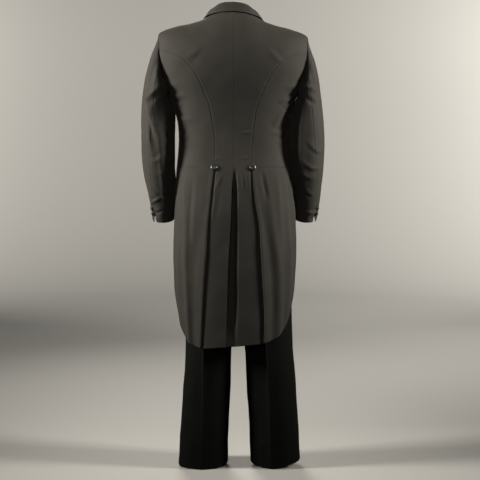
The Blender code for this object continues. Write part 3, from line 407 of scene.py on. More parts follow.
LEG = table(  # a leg's inner side, half width, middle and depths; above the crotch it joins the hips
    "height inner half_width behind back front",
    (0.034, 0.0364, 0.0795, 0.004, 0.062, 0.060),
    (0.14, 0.0330, 0.0775, 0.004, 0.063, 0.061),
    (0.26, 0.0265, 0.0770, 0.004, 0.066, 0.063),
    (0.39, 0.0210, 0.0745, 0.004, 0.070, 0.066),
    (0.50, 0.0160, 0.0770, 0.004, 0.074, 0.072),
    (0.60, 0.0100, 0.0830, 0.004, 0.083, 0.080),
    (0.69, 0.0050, 0.0885, 0.003, 0.094, 0.089),
    (0.745, 0.0020, 0.0912, 0.002, 0.098, 0.096),
    (0.775, 0.0003, 0.0922, 0.002, 0.101, 0.101),
)
HIPS = table(
    "height half_width back front",
    (0.775, 0.1850, 0.1040, 0.1080),
    (0.825, 0.1850, 0.1080, 0.1120),
    (0.865, 0.1830, 0.1070, 0.1140),
    (0.92, 0.1770, 0.1015, 0.1140),
    (0.965, 0.1706, 0.0945, 0.1110),
    (1.000, 0.1683, 0.0905, 0.1080),
    (1.038, 0.1679, 0.0885, 0.1060),
)
CREASE_SHIFT = table(  # how far outwards each leg's crease lies from the middle of the leg
    "height left right",
    (0.034, 0.003, -0.014),
    (0.26, 0.010, -0.011),
    (0.39, 0.014, -0.010),
    (0.60, 0.008, -0.004),
    (0.775, 0.000, 0.000),
)
STANCE = table(  # how the hips sway, the legs stand aside, the whole leans and hangs, as one stands
    "height sway aside lean hang",
    (0.00, 0.0000, -0.0190, -0.040, 0.0165),
    (0.20, -0.0020, -0.0175, -0.060, 0.0100),
    (0.41, -0.0040, -0.0150, -0.080, 0.0045),
    (0.62, -0.0050, -0.0070, -0.030, 0.0012),
    (0.80, -0.0055, 0.0000, 0.000, 0.0000),
    (0.90, -0.0040, 0.0000, 0.000, 0.0000),
    (1.00, 0.0000, 0.0000, 0.000, 0.0000),
    (1.10, 0.0000, 0.0000, 0.000, 0.0008),
    (1.25, 0.0000, 0.0000, 0.013, 0.0036),
    (1.42, 0.0000, 0.0000, 0.026, 0.0085),
)
COAT_FOLDS = (  # turn and height at each end, bow in metres, half width and rise in millimetres, steepness
    (75.0, 1.066, 49.0, 1.056, -0.006, 6.0, 1.9, 0.30),
    (78.0, 1.040, 41.0, 1.024, -0.004, 6.5, 1.5, -0.25),
    (-38.0, 1.064, -68.0, 1.074, -0.006, 6.0, 1.9, 0.30),
    (-46.0, 1.036, -62.0, 1.038, -0.004, 5.5, 1.3, -0.25),
    (-5.0, 1.064, -18.0, 1.068, -0.003, 4.0, 1.5, 0.25),
    (16.0, 0.990, 8.0, 0.984, -0.002, 4.0, 1.5, 0.20),
    (-6.5, 0.986, -13.5, 0.990, -0.002, 4.0, 1.5, 0.20),
    (76.0, 1.200, 46.0, 1.172, -0.005, 6.2, 4.8, 0.30),
    (82.0, 1.164, 52.0, 1.150, -0.004, 5.4, 3.8, 0.30),
    (84.0, 1.132, 43.0, 1.100, -0.006, 6.6, 3.4, 0.25),
    (82.0, 1.098, 60.0, 1.090, -0.003, 5.2, 2.0, 0.25),
    (72.0, 1.232, 50.0, 1.206, -0.004, 7.0, 2.7, 0.25),
    (-76.0, 1.197, -44.0, 1.156, -0.005, 6.4, 5.0, -0.30),
    (-81.0, 1.168, -52.0, 1.146, -0.003, 5.4, 3.9, -0.30),
    (-84.0, 1.130, -56.0, 1.114, -0.004, 5.6, 2.8, -0.25),
    (-74.0, 1.236, -46.0, 1.200, -0.004, 7.0, 2.5, -0.25),
    (-64.0, 1.160, -43.0, 1.080, -0.003, 9.8, 4.3, 0.20),
    (8.4, 0.936, 15.6, 0.880, 0.000, 4.0, 2.2, 0.25),
    (12.0, 0.900, 17.5, 0.790, 0.004, 7.0, 2.0, 0.20),
    (-5.3, 0.935, -6.8, 0.885, 0.000, 3.0, 1.9, 0.10),
    (-8.4, 0.930, -10.0, 0.878, 0.000, 3.0, 1.5, -0.10),
    (-25.0, 0.945, -30.0, 0.850, 0.002, 5.0, -2.9, 0.20),
    (53.0, 0.945, 52.0, 0.640, 0.004, 7.5, 3.6, -0.30),
    (40.0, 0.930, 44.0, 0.720, 0.004, 8.0, -2.0, 0.20),
    (-44.0, 0.940, -47.0, 0.680, 0.003, 9.0, 2.4, 0.25),
    (-62.0, 0.930, -66.0, 0.700, 0.003, 9.0, -1.9, 0.25),
    (20.0, 1.330, 34.0, 1.285, -0.006, 9.0, 1.7, 0.20),
    (-22.0, 1.325, -36.0, 1.280, -0.006, 9.0, 1.9, 0.20),
    (108.0, 1.150, 138.0, 1.096, -0.006, 7.0, 2.9, 0.30),
    (112.0, 1.110, 143.0, 1.064, -0.006, 6.0, 2.5, 0.25),
    (120.0, 1.064, 152.0, 1.034, -0.005, 6.0, 2.4, 0.25),
    (126.0, 1.022, 158.0, 1.006, -0.004, 5.5, 2.2, -0.20),
    (-106.0, 1.156, -136.0, 1.104, -0.006, 7.0, 2.7, 0.30),
    (-112.0, 1.104, -141.0, 1.070, -0.006, 6.0, 2.5, -0.25),
    (-122.0, 1.058, -154.0, 1.028, -0.005, 6.0, 2.2, 0.25),
    (-130.0, 1.012, -158.0, 0.998, -0.004, 5.5, 2.0, 0.20),
    (100.0, 1.078, 118.0, 1.060, -0.004, 5.0, 2.0, 0.25),
    (-98.0, 1.082, -120.0, 1.062, -0.004, 5.0, 2.0, 0.25),
    (150.0, 1.290, 128.0, 1.230, 0.006, 9.0, 2.2, 0.20),
    (-148.0, 1.286, -127.0, 1.226, 0.006, 9.0, 2.2, 0.20),
    (112.0, 0.940, 100.0, 0.720, 0.004, 9.0, 2.7, -0.25),
    (-110.0, 0.940, -99.0, 0.730, 0.004, 9.0, 2.7, 0.25),
    (140.0, 0.940, 126.0, 0.830, 0.004, 8.0, 2.0, 0.20),
    (-142.0, 0.940, -129.0, 0.826, 0.004, 8.0, 2.0, 0.20),
)
SLEEVE_FOLDS = {  # turn and ring at each end, bow in rings, half width and rise in millimetres, steepness
    "left": (
        (180.0, 0.30, 181.0, 6.30, 0.00, 20.0, 5.8, 0.00),
        (180.0, 8.30, 181.0, 12.95, 0.00, 20.0, 5.5, 0.00),
        (126.0, 0.20, 134.0, 3.60, 0.00, 22.0, 10.0, 0.00),
        (112.0, 2.50, 44.0, 4.40, 0.20, 9.0, 6.0, 0.30),
        (30.0, 3.40, 104.0, 7.00, 0.10, 11.0, 6.0, -0.35),
        (96.0, 5.40, 110.0, 11.80, 0.00, 11.0, 5.0, -0.35),
        (110.0, 3.60, 92.0, 5.60, 0.00, 15.0, -6.0, 0.00),
        (140.0, 4.20, 136.0, 11.60, 0.00, 15.0, -5.0, 0.00),
        (56.0, 5.00, 70.0, 7.40, 0.00, 6.0, 3.1, 0.25),
        (22.0, 10.85, 96.0, 9.85, -0.15, 4.5, 4.1, 0.30),
        (60.0, 9.15, 118.0, 9.75, 0.20, 5.0, -3.2, 0.20),
        (44.0, 11.75, 96.0, 11.40, 0.10, 4.5, -2.7, 0.20),
        (20.0, 12.15, 80.0, 12.45, 0.15, 4.0, 1.9, 0.20),
        (12.0, 1.50, 8.0, 6.20, 0.00, 9.0, 2.9, -0.25),
        (-12.0, 5.20, 14.0, 9.60, 0.00, 8.0, 2.5, 0.25),
        (38.0, 1.20, 52.0, 4.60, 0.00, 9.0, 2.0, 0.25),
        (70.0, 1.00, 60.0, 3.20, 0.00, 9.0, -2.4, 0.20),
        (100.0, 6.10, 150.0, 6.90, 0.20, 6.0, 2.9, 0.30),
        (60.0, 7.70, 120.0, 7.20, 0.25, 6.0, 2.7, 0.30),
        (80.0, 8.40, 140.0, 8.00, 0.20, 5.0, 2.5, -0.25),
        (214.0, 6.90, 300.0, 6.10, 0.40, 6.0, 4.1, 0.35),
        (220.0, 7.60, 312.0, 7.10, 0.40, 5.5, 4.2, 0.35),
        (228.0, 8.20, 318.0, 8.10, 0.30, 5.5, 3.4, -0.30),
        (236.0, 5.70, 290.0, 5.10, 0.30, 6.0, 2.9, 0.30),
        (250.0, 9.40, 330.0, 9.00, 0.30, 5.5, 2.5, 0.25),
        (300.0, 1.20, 286.0, 3.60, 0.00, 9.0, 3.1, 0.25),
        (326.0, 1.00, 316.0, 4.20, 0.00, 9.0, 2.2, -0.25),
    ),
    "right": (
        (180.0, 0.30, 181.0, 5.00, 0.00, 20.0, 4.5, 0.00),
        (178.0, 2.60, 182.0, 12.60, 0.00, 22.0, 5.2, 0.00),
        (126.0, 0.20, 134.0, 3.60, 0.00, 22.0, 10.0, 0.00),
        (116.0, 2.40, 30.0, 3.80, 0.25, 7.5, 5.5, 0.30),
        (112.0, 3.50, 50.0, 4.50, 0.25, 8.0, -4.0, 0.10),
        (112.0, 3.60, 116.0, 11.40, 0.00, 9.0, 4.2, -0.35),
        (142.0, 3.40, 138.0, 11.60, 0.00, 14.0, -4.6, 0.00),
        (44.0, 2.20, 20.0, 3.00, 0.10, 4.5, 2.7, 0.30),
        (16.0, 11.80, 92.0, 11.95, -0.15, 4.5, 3.4, 0.25),
        (24.0, 11.05, 100.0, 11.30, 0.15, 4.5, -2.9, 0.20),
        (40.0, 12.50, 84.0, 12.45, 0.10, 3.5, -2.0, 0.20),
        (40.0, 8.10, 118.0, 7.60, 0.30, 5.0, 3.2, 0.30),
        (52.0, 8.55, 128.0, 8.20, 0.25, 4.5, 2.9, -0.30),
        (28.0, 7.20, 96.0, 6.60, 0.30, 6.0, 2.7, 0.30),
        (60.0, 9.60, 112.0, 9.20, 0.20, 5.0, 2.4, 0.25),
        (14.0, 1.60, 10.0, 6.00, 0.00, 9.0, 2.7, 0.25),
        (-14.0, 4.80, 10.0, 9.20, 0.00, 8.0, 2.5, -0.25),
        (44.0, 1.20, 58.0, 4.80, 0.00, 9.0, 2.2, 0.25),
        (74.0, 1.00, 66.0, 3.00, 0.00, 9.0, -2.2, 0.20),
        (212.0, 6.80, 298.0, 6.20, 0.40, 6.0, 3.9, 0.35),
        (222.0, 7.50, 310.0, 7.20, 0.40, 5.5, 4.2, 0.35),
        (230.0, 8.30, 316.0, 8.00, 0.30, 5.5, 3.2, -0.30),
        (240.0, 5.50, 292.0, 5.00, 0.30, 6.0, 2.7, 0.30),
        (252.0, 9.50, 326.0, 9.10, 0.30, 5.5, 2.5, 0.25),
        (302.0, 1.10, 288.0, 3.80, 0.00, 9.0, 2.9, 0.25),
        (328.0, 1.00, 318.0, 4.00, 0.00, 9.0, 2.4, -0.25),
    ),
}
TROUSER_FOLDS = {  # turn and height at each end, bow in metres, half width and rise in millimetres, steepness
    "left": (
        (90.0, 0.035, 90.0, 0.860, 0.000, 2.4, 2.6, 0.35),
        (-90.0, 0.035, -90.0, 0.900, 0.000, 2.4, 2.6, 0.35),
        (120.0, 0.520, 70.0, 0.500, -0.008, 8.0, 1.8, 0.25),
        (140.0, 0.462, 84.0, 0.448, -0.008, 7.0, 1.4, 0.25),
        (-150.0, 0.800, -96.0, 0.872, -0.010, 8.0, 2.4, 0.30),
        (-156.0, 0.770, -80.0, 0.812, -0.012, 8.0, 2.0, 0.30),
        (-160.0, 0.742, -108.0, 0.752, -0.010, 7.0, 1.6, 0.25),
        (-60.0, 0.492, -128.0, 0.470, -0.010, 9.0, 1.7, 0.25),
        (40.0, 0.230, 30.0, 0.060, 0.000, 9.0, 1.4, 0.20),
        (-44.0, 0.150, -108.0, 0.132, -0.010, 9.0, 2.0, 0.30),
        (60.0, 0.120, 128.0, 0.104, -0.008, 8.0, 1.6, 0.25),
        (130.0, 0.860, 96.0, 0.760, 0.010, 10.0, 2.2, 0.25),
    ),
    "right": (
        (90.0, 0.035, 90.0, 0.860, 0.000, 2.4, 2.6, -0.35),
        (-90.0, 0.035, -90.0, 0.900, 0.000, 2.4, 2.6, -0.35),
        (124.0, 0.510, 66.0, 0.494, -0.008, 8.0, 1.7, 0.25),
        (136.0, 0.456, 90.0, 0.440, -0.008, 7.0, 1.5, 0.25),
        (-152.0, 0.806, -94.0, 0.866, -0.010, 8.0, 2.3, 0.30),
        (-158.0, 0.772, -84.0, 0.806, -0.012, 8.0, 2.1, 0.30),
        (-158.0, 0.738, -112.0, 0.756, -0.010, 7.0, 1.5, 0.25),
        (-64.0, 0.486, -124.0, 0.474, -0.010, 9.0, 1.8, 0.25),
        (36.0, 0.240, 28.0, 0.070, 0.000, 9.0, 1.3, 0.20),
        (-40.0, 0.160, -104.0, 0.138, -0.010, 9.0, 1.9, 0.30),
        (62.0, 0.126, 124.0, 0.100, -0.008, 8.0, 1.5, 0.25),
        (128.0, 0.856, 98.0, 0.764, 0.010, 10.0, 2.1, 0.25),
    ),
}

# Woven cloth
THREAD_PATCH = 3.0 * MM         # how large the uneven patches of thread are, and those that wear has rubbed
WORN_PATCH = 55.0 * MM
THREAD_TONE = 0.45      # how much each kind of patch lightens the cloth
WORN_TONE = 0.6
WAVE_TURNS = 10         # radians by which a wave texture turns in a unit, at a scale of 1

# Buttons
WAIST_BUTTON = (0.0587, WAIST_SEAM)     # out and height
FRONT_BUTTON = (0.0, 0.992)
CUFF_BUTTONS = ((36, 11.25), (36, 11.95))       # degrees round the sleeve and the ring
WAIST_BUTTON_SIZE = (0.0105, 0.0055)    # radius and rise
FRONT_BUTTON_SIZE = (0.0105, 0.0050)
CUFF_BUTTON_SIZE = (0.0070, 0.0045)
CUFF_BUTTON_OFF = 0.0004
BUTTON_SPAN = (3, 0.2)  # degrees and rings to either side, for the way that a cuff button faces
BUTTON_SIDES = 40
BUTTON_RINGS = 26
BUTTON_PROFILE = (      # shares of the radius and the rise, from the crown round the rim to the back
    (0.0, 1.0), (0.25, 0.985), (0.50, 0.93), (0.72, 0.80), (0.88, 0.62), (0.97, 0.42), (1.0, 0.28),
    (0.97, 0.14), (0.86, 0.04), (0.5, 0.0), (0.0, 0.0),
)

# Hand stitches
STITCH_SIZES = ("Space", "Length", "Width", "Height", "Turn")
STITCHES = {            # from one to the next, the stitch's own sizes, and its turn from the line
    "picked": (5.0 * MM, 1.7 * MM, 0.55 * MM, 0.36 * MM, 0.0),
    "worked": (0.62 * MM, 1.9 * MM, 0.60 * MM, 0.55 * MM, math.radians(90.0)),
}
STITCH_SEED = 7
STITCH_ASKEW = 0.10     # radians
STITCH_SLACK = (0.88, 1.08)     # least and greatest size of a stitch, as a share of the size given
PICK_INSET = 5.0 * MM           # from a finished edge to its row of hand stitches
PICK_ENDS = 6.0 * MM            # how far from a row's corners it starts and ends
BUTTONHOLES = (  # piece, out, height, slope in degrees, length
    ("lapel_left_cloth", 0.0990, 1.3080, 42.0, 0.022),
    ("forepart_left_cloth", 0.0095, 0.9920, 0.0, 0.024),
)
HOLE_LINE = (           # share of the length, and millimetres to the side: a slit with an eyelet at its end
    (-0.5, 1.15), (0.36, 1.15), (0.42, 1.75), (0.5, 1.75), (0.54, 0.0), (0.5, -1.75), (0.42, -1.75),
    (0.36, -1.15), (-0.5, -1.15),
)
HOLE_POINTS = 60

grids = {}      # each piece's outside points and the way that they face, for what is sewn on it

# The studio
FLOOR = -1.4135
PAPER = "#B4B2AD"
PAPER_ROUGHNESS = 0.95
FLOOR_RINGS = (0.0, 1.0, 2.5, 4.2)      # radii of the flat floor
BACKDROP_BEND = 1.6     # radius of the curve from the floor up into the backdrop
BACKDROP_HEIGHTS = (2.6, 4.2)   # rings of its upright part, above the floor
BACKDROP_SIDES = 72
AIR = "#D8D6D2"
WORLD = 0.016
CAMERA_PLACE = (0.0, 3.2, -0.45)
CAMERA_AIM = (0.0, 0.0, -0.693)
CAMERA_ANGLE = 26.6
CAMERA_SHIFT = 0.01396
LIGHTS = (  # name, place, aim, size, power, spread in degrees, colour
    ("side_left", (2.6, 0.50, 0.40), (0.0, 0.1, -0.18), (0.5, 1.2), 25.0, 62, "#FFFAF2"),
    ("side_right", (-2.6, 0.54, 0.50), (0.0, 0.1, -0.14), (0.5, 1.2), 21.0, 62, "#FFFAF2"),
    ("top", (-0.3, 1.7, 2.2), (0.0, 0.0, -0.3), (1.0, 0.8), 1.5, 180, "#FFFCF6"),
    ("front", (0.5, -3.0, 0.7), (0.0, 0.0, -0.6), (1.2, 1.2), 21.0, 80, "#FFFCF6"),
    ("front_wall", (0.3, 3.5, 2.5), (0.3, 5.8, -0.1), (1.6, 1.0), 90.0, 110, "#FFFCF6"),
    ("beyond", (-1.3, -1.3, 1.0), (-1.0, -5.8, -0.4), (1.6, 1.2), 98.0, 180, "#FFFCF6"),
    ("beyond_left", (3.0, -3.4, 0.5), (2.3, -5.8, 0.4), (0.8, 0.8), 58.0, 180, "#FFFCF6"),
    ("beyond_right", (-3.0, -3.4, 0.6), (-2.3, -5.8, 0.5), (0.8, 0.8), 86.0, 180, "#FFFCF6"),
    ("behind", (0.3, 3.2, 0.3), (0.0, 0.0, -0.5), (1.6, 1.0), 2.8, 60, "#FFFCF6"),
)


def read(rows, column, at):
    """A column's values on the smooth curve through its rows, held beyond the end rows."""
    places, values, slopes = rows[column]
    at = np.clip(at, places[0], places[-1])
    k = np.clip(np.searchsorted(places, at) - 1, 0, len(places) - 2)
    width = places[k + 1] - places[k]
    t = (at - places[k]) / width
    bend = width * t * (1 - t) * ((1 - t) * slopes[k] - t * slopes[k + 1])
    return values[k] + t * t * (3 - 2 * t) * (values[k + 1] - values[k]) + bend


def ramp(value, start, end):
    """0 at start, 1 at end and beyond, smooth between."""
    t = np.clip((value - start) / (end - start), 0.0, 1.0)
    return t * t * (3 - 2 * t)


def unit(vectors):
    """Vectors of the same ways, one long."""
    return vectors / np.linalg.norm(vectors, axis=-1, keepdims=True)


def square_to(way, normal):
    """The part of a way that lies square to a unit vector, one long."""
    return unit(way - normal * (way * normal).sum(axis=-1, keepdims=True))


def mirrored(side):
    """What turns a place on the left into its place on this side."""
    return np.array((side, 1, 1))


def lengths(points, axis=0):
    """How far along its line each point lies."""
    steps = np.linalg.norm(np.diff(points, axis=axis), axis=-1)
    none = np.zeros_like(np.take(steps, [0], axis=axis))
    return np.concatenate([none, np.cumsum(steps, axis=axis)], axis=axis)


def shares(points):
    """The share of its line at which each point lies."""
    reach = lengths(points)
    return reach / reach[-1]


def along(points, reach):
    """Points at these shares of the smooth curve through the given ones."""
    points = np.array(points, float)
    length = lengths(points)
    curve = [table("length value", *zip(length, points[:, k])) for k in range(points.shape[1])]
    return np.stack([read(rows, "value", reach * length[-1]) for rows in curve], axis=-1)


def spaced(length, step, marks=(0.0, 1.0)):
    """Shares of the way along an edge: a step apart, and closer at both ends, where the cloth is turned in."""
    close = np.array(EDGE_STEPS) / length
    found = [close, 1 - close, (0.0, 1.0)]
    for start, end in zip(marks, marks[1:]):
        low = start + (close[-1] if start == 0 else 0)
        high = end - (close[-1] if end == 1 else 0)
        found.append(np.linspace(low, high, max(int(round((high - low) * length / step)), 2) + 1))
    return np.unique(np.concatenate(found).round(SHARE_DIGITS))


def chained(reach, *pieces):
    """Places at these shares of the way along pieces joined end to end, or the shares where they join.

    Each piece is a function of its own share.
    """
    sizes = [lengths(piece(np.linspace(0, 1, TRIAL_POINTS)))[-1] for piece in pieces]
    ends = np.concatenate([[0.0], np.cumsum(sizes)]) / sum(sizes)
    if reach is None:
        return ends
    chosen = np.clip(np.searchsorted(ends, reach, side="right") - 1, 0, len(pieces) - 1)
    found = np.zeros((len(reach), 2))
    for k, piece in enumerate(pieces):
        mine = chosen == k
        found[mine] = piece((reach[mine] - ends[k]) / (ends[k + 1] - ends[k]))
    return found


def patch(bottom, top, left, right, u, v):
    """A grid of places between four edges that meet at their corners, rows going up."""
    u, v = u[None, :, None], v[:, None, None]
    between_rows = (1 - v) * bottom[None] + v * top[None]
    between_sides = (1 - u) * left[:, None] + u * right[:, None]
    corners = (1 - v) * ((1 - u) * bottom[0] + u * bottom[-1]) + v * ((1 - u) * top[0] + u * top[-1])
    return between_rows + between_sides - corners


def coat(arc, height):
    """A point on the coat's outside. arc is 0 at the middle of the back and grows round the left to the front.

    A height above the shoulder's crest counts down its other side.
    """
    turn = np.radians(arc / ROUND)
    power = 2 / SQUARENESS
    x = np.sign(np.sin(turn)) * read(COAT, "half_width", height) * np.abs(np.sin(turn)) ** power
    behind = np.cos(turn) >= 0
    depth = np.where(behind, read(COAT, "back", height), read(COAT, "front", height))
    y = depth * np.abs(np.cos(turn)) ** power
    start = np.where(behind, BLADES, CHEST)
    crest = read(SHOULDER, "height", np.abs(x))
    middle = read(SHOULDER, "behind", np.abs(x))
    over = np.where(height <= crest, 1.0, -1.0)
    lowered = np.minimum(height, 2 * crest - height)
    rise = np.clip((lowered - start) / (crest - start), 0.0, 1.0)
    bent = middle + over * (y - middle) * np.sqrt(1 - rise ** SHOULDER_SQUARENESS)
    high = height > start
    return np.stack([x, np.where(high, bent, y), np.where(high, lowered, height)], axis=-1)


def arc_at(x, height, behind=True):
    """The arc at which the coat's outside is this far out."""
    ratio = np.minimum(np.abs(x) / read(COAT, "half_width", height), 1.0)
    turn = np.sign(x) * np.degrees(np.arcsin(ratio ** (SQUARENESS / 2)))
    return ROUND * np.where(behind, turn, 180 - turn)


def places(points, behind=True):
    """Turns (out, height) into places on the coat."""
    return np.stack([arc_at(points[:, 0], points[:, 1], behind), points[:, 1]], axis=-1)


def inside_coat(points):
    """Whether points lie within the coat's form."""
    x, y, height = points[..., 0], points[..., 1], points[..., 2]
    within = (np.abs(x) < read(COAT, "half_width", height)) & (height < read(SHOULDER, "height", np.abs(x)))
    front = coat(arc_at(x, height, False), height)[..., 1]
    back = coat(arc_at(x, height), height)[..., 1]
    return within & (front < y) & (y < back)


ARM_UP = unit(np.array((ARM_LEAN, 0.0, 1.0)))
ARM_BACK = unit(np.array((ARM_YAW, 1.0, 0.0)))
ARM_AWAY = unit(np.cross(ARM_BACK, ARM_UP))
ARM_MIDDLE = np.array((ARM_OUT + ARM_YAW * ARM_CENTRE[0], *ARM_CENTRE))


def armhole_round():
    """The armhole's edge on the coat, in a flat plane: a point for each degree, from its top round the back."""
    angle = np.radians(ARM_DEGREES)[:, None]
    way = unit(ARM_HALF_HEIGHT * np.cos(angle) * ARM_UP + ARM_HALF_DEPTH * np.sin(angle) * ARM_BACK)
    near, far = (np.full_like(angle, reach) for reach in ARM_SEARCH)
    for _ in range(ARM_HALVINGS):
        middle = (near + far) / 2
        inside = inside_coat(ARM_MIDDLE + middle * way)[:, None]
        near, far = np.where(inside, middle, near), np.where(inside, far, middle)
    return ARM_MIDDLE + near * way


ARMHOLE = armhole_round()


def armhole(turn):
    """The armhole's edge, at degrees from its top round the back."""
    return np.stack([np.interp(turn % 360, ARM_DEGREES, ARMHOLE[:, k]) for k in range(3)], axis=-1)


def armhole_place(turn):
    """The armhole's edge as places on the coat."""
    x, y, height = np.moveaxis(armhole(turn), -1, 0)
    behind = (turn % 360 < 180) & (y > coat(90 * ROUND, height)[..., 1])
    return np.stack([arc_at(x, height, behind), height], axis=-1)


def faced(surface, p, q):
    """A surface's points at these places, and its normals."""
    across = surface(p + STEP, q) - surface(p - STEP, q)
    upwards = surface(p, q + STEP) - surface(p, q - STEP)
    return surface(p, q), unit(np.cross(upwards, across))


def faced_at(surface, points, behind=False):
    """A surface's points and normals at (out, height)."""
    return faced(surface, arc_at(points[..., 0], points[..., 1], behind), points[..., 1])


def kept_behind(outer, inner, away):
    """Inner points that don't pass their outer ones along the way given, and are as far from them as before."""
    moved = inner - outer
    cloth = np.linalg.norm(moved, axis=-1, keepdims=True)
    moved = moved - away * np.maximum((moved * away).sum(axis=-1, keepdims=True), 0.0)
    return outer + unit(moved) * cloth


def stand(points, kind):
    """Where points go once the figure stands as shown: hips swayed, legs aside, shoulders a little down."""
    x, y, height = np.moveaxis(points, -1, 0)
    sway = read(STANCE, "sway", height) * np.minimum((x / HIP_HALF) ** 2, MOST_SWAY)
    if kind == "sleeve":
        sway = np.where(x < 0, -RIGHT_ARM_ASIDE * (1 - ramp(height, *ARM_ASIDE_HEIGHTS)), 0.0)
    if kind == "trousers":
        sway = sway + read(STANCE, "aside", height)
    lower = read(STANCE, "hang", height) - read(STANCE, "lean", height) * x
    return np.stack([x + sway, y, height - lower - HELD_HEIGHT], axis=-1)


def fold_lines(surface, rows, side):
    """Folds that a table gives on a surface, as lines of points with their half width, rise and steepness."""
    lines = []
    for p0, q0, p1, q1, bow, half, rise, steep in rows:
        s = np.linspace(0, 1, FOLD_POINTS)
        p = p0 + (p1 - p0) * s
        q = q0 + (q1 - q0) * s + bow * np.sin(np.pi * s)
        lines.append((surface(p, q) * mirrored(side), half * MM, rise * MM, steep))
    return lines


def pressed(spots, normals, lines):
    """How far the folds push each point out. Each has a hollow on its steep side and dies away at its ends."""
    push = np.zeros(spots.shape[:-1])
    for points, half, rise, steep in lines:
        reach = FOLD_REACH * half
        near = ((spots > points.min(axis=0) - reach) & (spots < points.max(axis=0) + reach)).all(axis=-1)
        if not near.any():
            continue
        spot, normal = spots[near], normals[near]
        step = np.diff(points, axis=0)
        share = ((spot[:, None] - points[:-1]) * step).sum(axis=-1) / (step ** 2).sum(axis=-1)
        share = np.clip(share, 0.0, 1.0)
        gap = spot[:, None] - points[:-1] - share[..., None] * step
        distance = np.linalg.norm(gap, axis=-1)
        nearest = distance.argmin(axis=1)
        rows = np.arange(len(nearest))
        distance, gap = distance[rows, nearest], gap[rows, nearest]
        taper = np.sin(np.pi * (nearest + share[rows, nearest]) / len(step)) ** FOLD_TAPER
        aside = np.sign((gap * np.cross(normal, step[nearest])).sum(axis=-1))
        ridge = np.exp(-((distance / (half * (1 - steep * aside))) ** 2))
        hollow = np.exp(-(((distance - HOLLOW_PLACE * half) / (HOLLOW_WIDTH * half)) ** 2))
        hollow = hollow * (aside > 0) * HOLLOW * (HOLLOW_LEAST + steep)
        push[near] += rise * taper * (ridge - hollow)
    return push


def uneven(spots):
    """The slight rise and fall that worn cloth has everywhere."""
    push = 0.0
    for way, size, phase in UNEVEN:
        push = push + size * MM * np.sin(spots @ np.array(way) * 2 * np.pi + phase)
    return push


def edge_distances(points):
    """How far each point of a grid lies from its bottom, top, left and right edges, along the cloth."""
    up, across = lengths(points, axis=0), lengths(points, axis=1)
    return up, up[-1:] - up, across, across[:, -1:] - across


def turned_in(points, edges):
    """How far the cloth sinks at its seams and free edges. edges names each side's finish, in that order."""
    sink = np.zeros(points.shape[:-1])
    for distance, finish in zip(edge_distances(points), edges):
        depth, width, allowance = EDGE_FINISH[finish]
        sink += depth * MM * np.exp(-((distance / (width * MM)) ** 2))
        sink -= allowance * MM * np.exp(-(((distance - TURNING_MIDDLE) / TURNING_HALF) ** 4))
    return sink


def linked(name, data):
    """A new object in the scene."""
    made = bpy.data.objects.new(name, data)
    bpy.context.scene.collection.objects.link(made)
    return made


def meshed(name, spots, faces, flat, material):
    """A smooth mesh. flat has the place in the cloth of each of its spots, in metres, for its UV map."""
    mesh = bpy.data.meshes.new(name)
    mesh.from_pydata(spots, [], faces)
    index = np.zeros(len(mesh.loops), np.int32)
    mesh.loops.foreach_get("vertex_index", index)
    mesh.uv_layers.new(name="cloth").data.foreach_set("uv", flat[index].astype(np.float32).reshape(-1))
    mesh.shade_smooth()
    mesh.materials.append(material)
    return mesh


def shell(name, outer, inner, kind, side, wool):
    """One closed piece of cloth between two grids of points, with its flat lengths as its UV map, in metres."""
    rows, columns = outer.shape[:2]
    count = rows * columns
    index = np.arange(count).reshape(rows, columns)
    quads = np.stack([index[:-1, :-1], index[:-1, 1:], index[1:, 1:], index[1:, :-1]], axis=-1).reshape(-1, 4)
    rim = np.concatenate([index[0, :-1], index[:-1, -1], index[-1, :0:-1], index[:0:-1, 0]])
    after = np.roll(rim, -1)
    walls = np.stack([after, rim, rim + count, after + count], axis=-1)
    faces = np.concatenate([quads, quads[:, ::-1] + count, walls])
    spots = np.concatenate([stand(grid, kind).reshape(-1, 3) for grid in (outer, inner)])
    a, b, c = spots[quads[:, 0]], spots[quads[:, 1]], spots[quads[:, 2]]
    away = (spots[:count] - spots[count:])[quads[:, 0]]
    if (np.cross(b - a, c - a) * away).sum() < 0:
        faces = faces[:, ::-1]
    outside, inside = spots.reshape(2, rows, columns, 3)
    grids[name] = outside, unit(outside - inside)
    across = lengths(outer, axis=1) - lengths(outer, axis=1)[:, columns // 2, None]
    flat = np.stack([across * side, lengths(outer, axis=0)], axis=-1).reshape(-1, 2)
    mesh = meshed(name, spots.tolist(), faces.tolist(), np.concatenate([flat, flat]), wool)
    mesh.set_sharp_from_angle(angle=math.radians(SHARP))
    made = linked(name, mesh)
    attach(made, "root")
    return made


def cloth(name, surface, grid, kind, side, wool, edges, folds=(), turned=1, thick=COAT_CLOTH, trim=None,
          slots="coat_wool"):
    """A piece of cloth over a surface, with its folds, turned edges and thickness. It stands for its solid."""
    base, normal = faced(surface, grid[..., 0], grid[..., 1])
    mirror = mirrored(side)
    base, normal = base * mirror, normal * mirror * turned
    push = pressed(base, normal, folds) + uneven(base) - turned_in(base, edges)
    outer = base + normal * push[..., None]
    inner = outer - normal * thick
    if trim is not None:
        trim(outer, inner, normal, mirror)
    finished(shell(name + "_cloth", outer, inner, kind, side, wool), name, slots)


def finished(made, name, slots):
    """Hides the solid that a piece of cloth stands for."""
    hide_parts(name)


def side_back_seam(s):
    """Places from the waist seam up to the armhole, shared by the back and the side body."""
    x, _, height = armhole(np.array(float(ARM_BACK_SEAM)))
    return places(along([*SIDE_BACK_SEAM, (x, height)], s))


def underarm_seam(s):
    """Places from the waist seam up to the armhole, shared by the side body and the forepart."""
    return along([(UNDERARM_SEAM * ROUND, WAIST_SEAM), armhole_place(np.array(float(ARM_UNDER_SEAM)))], s)


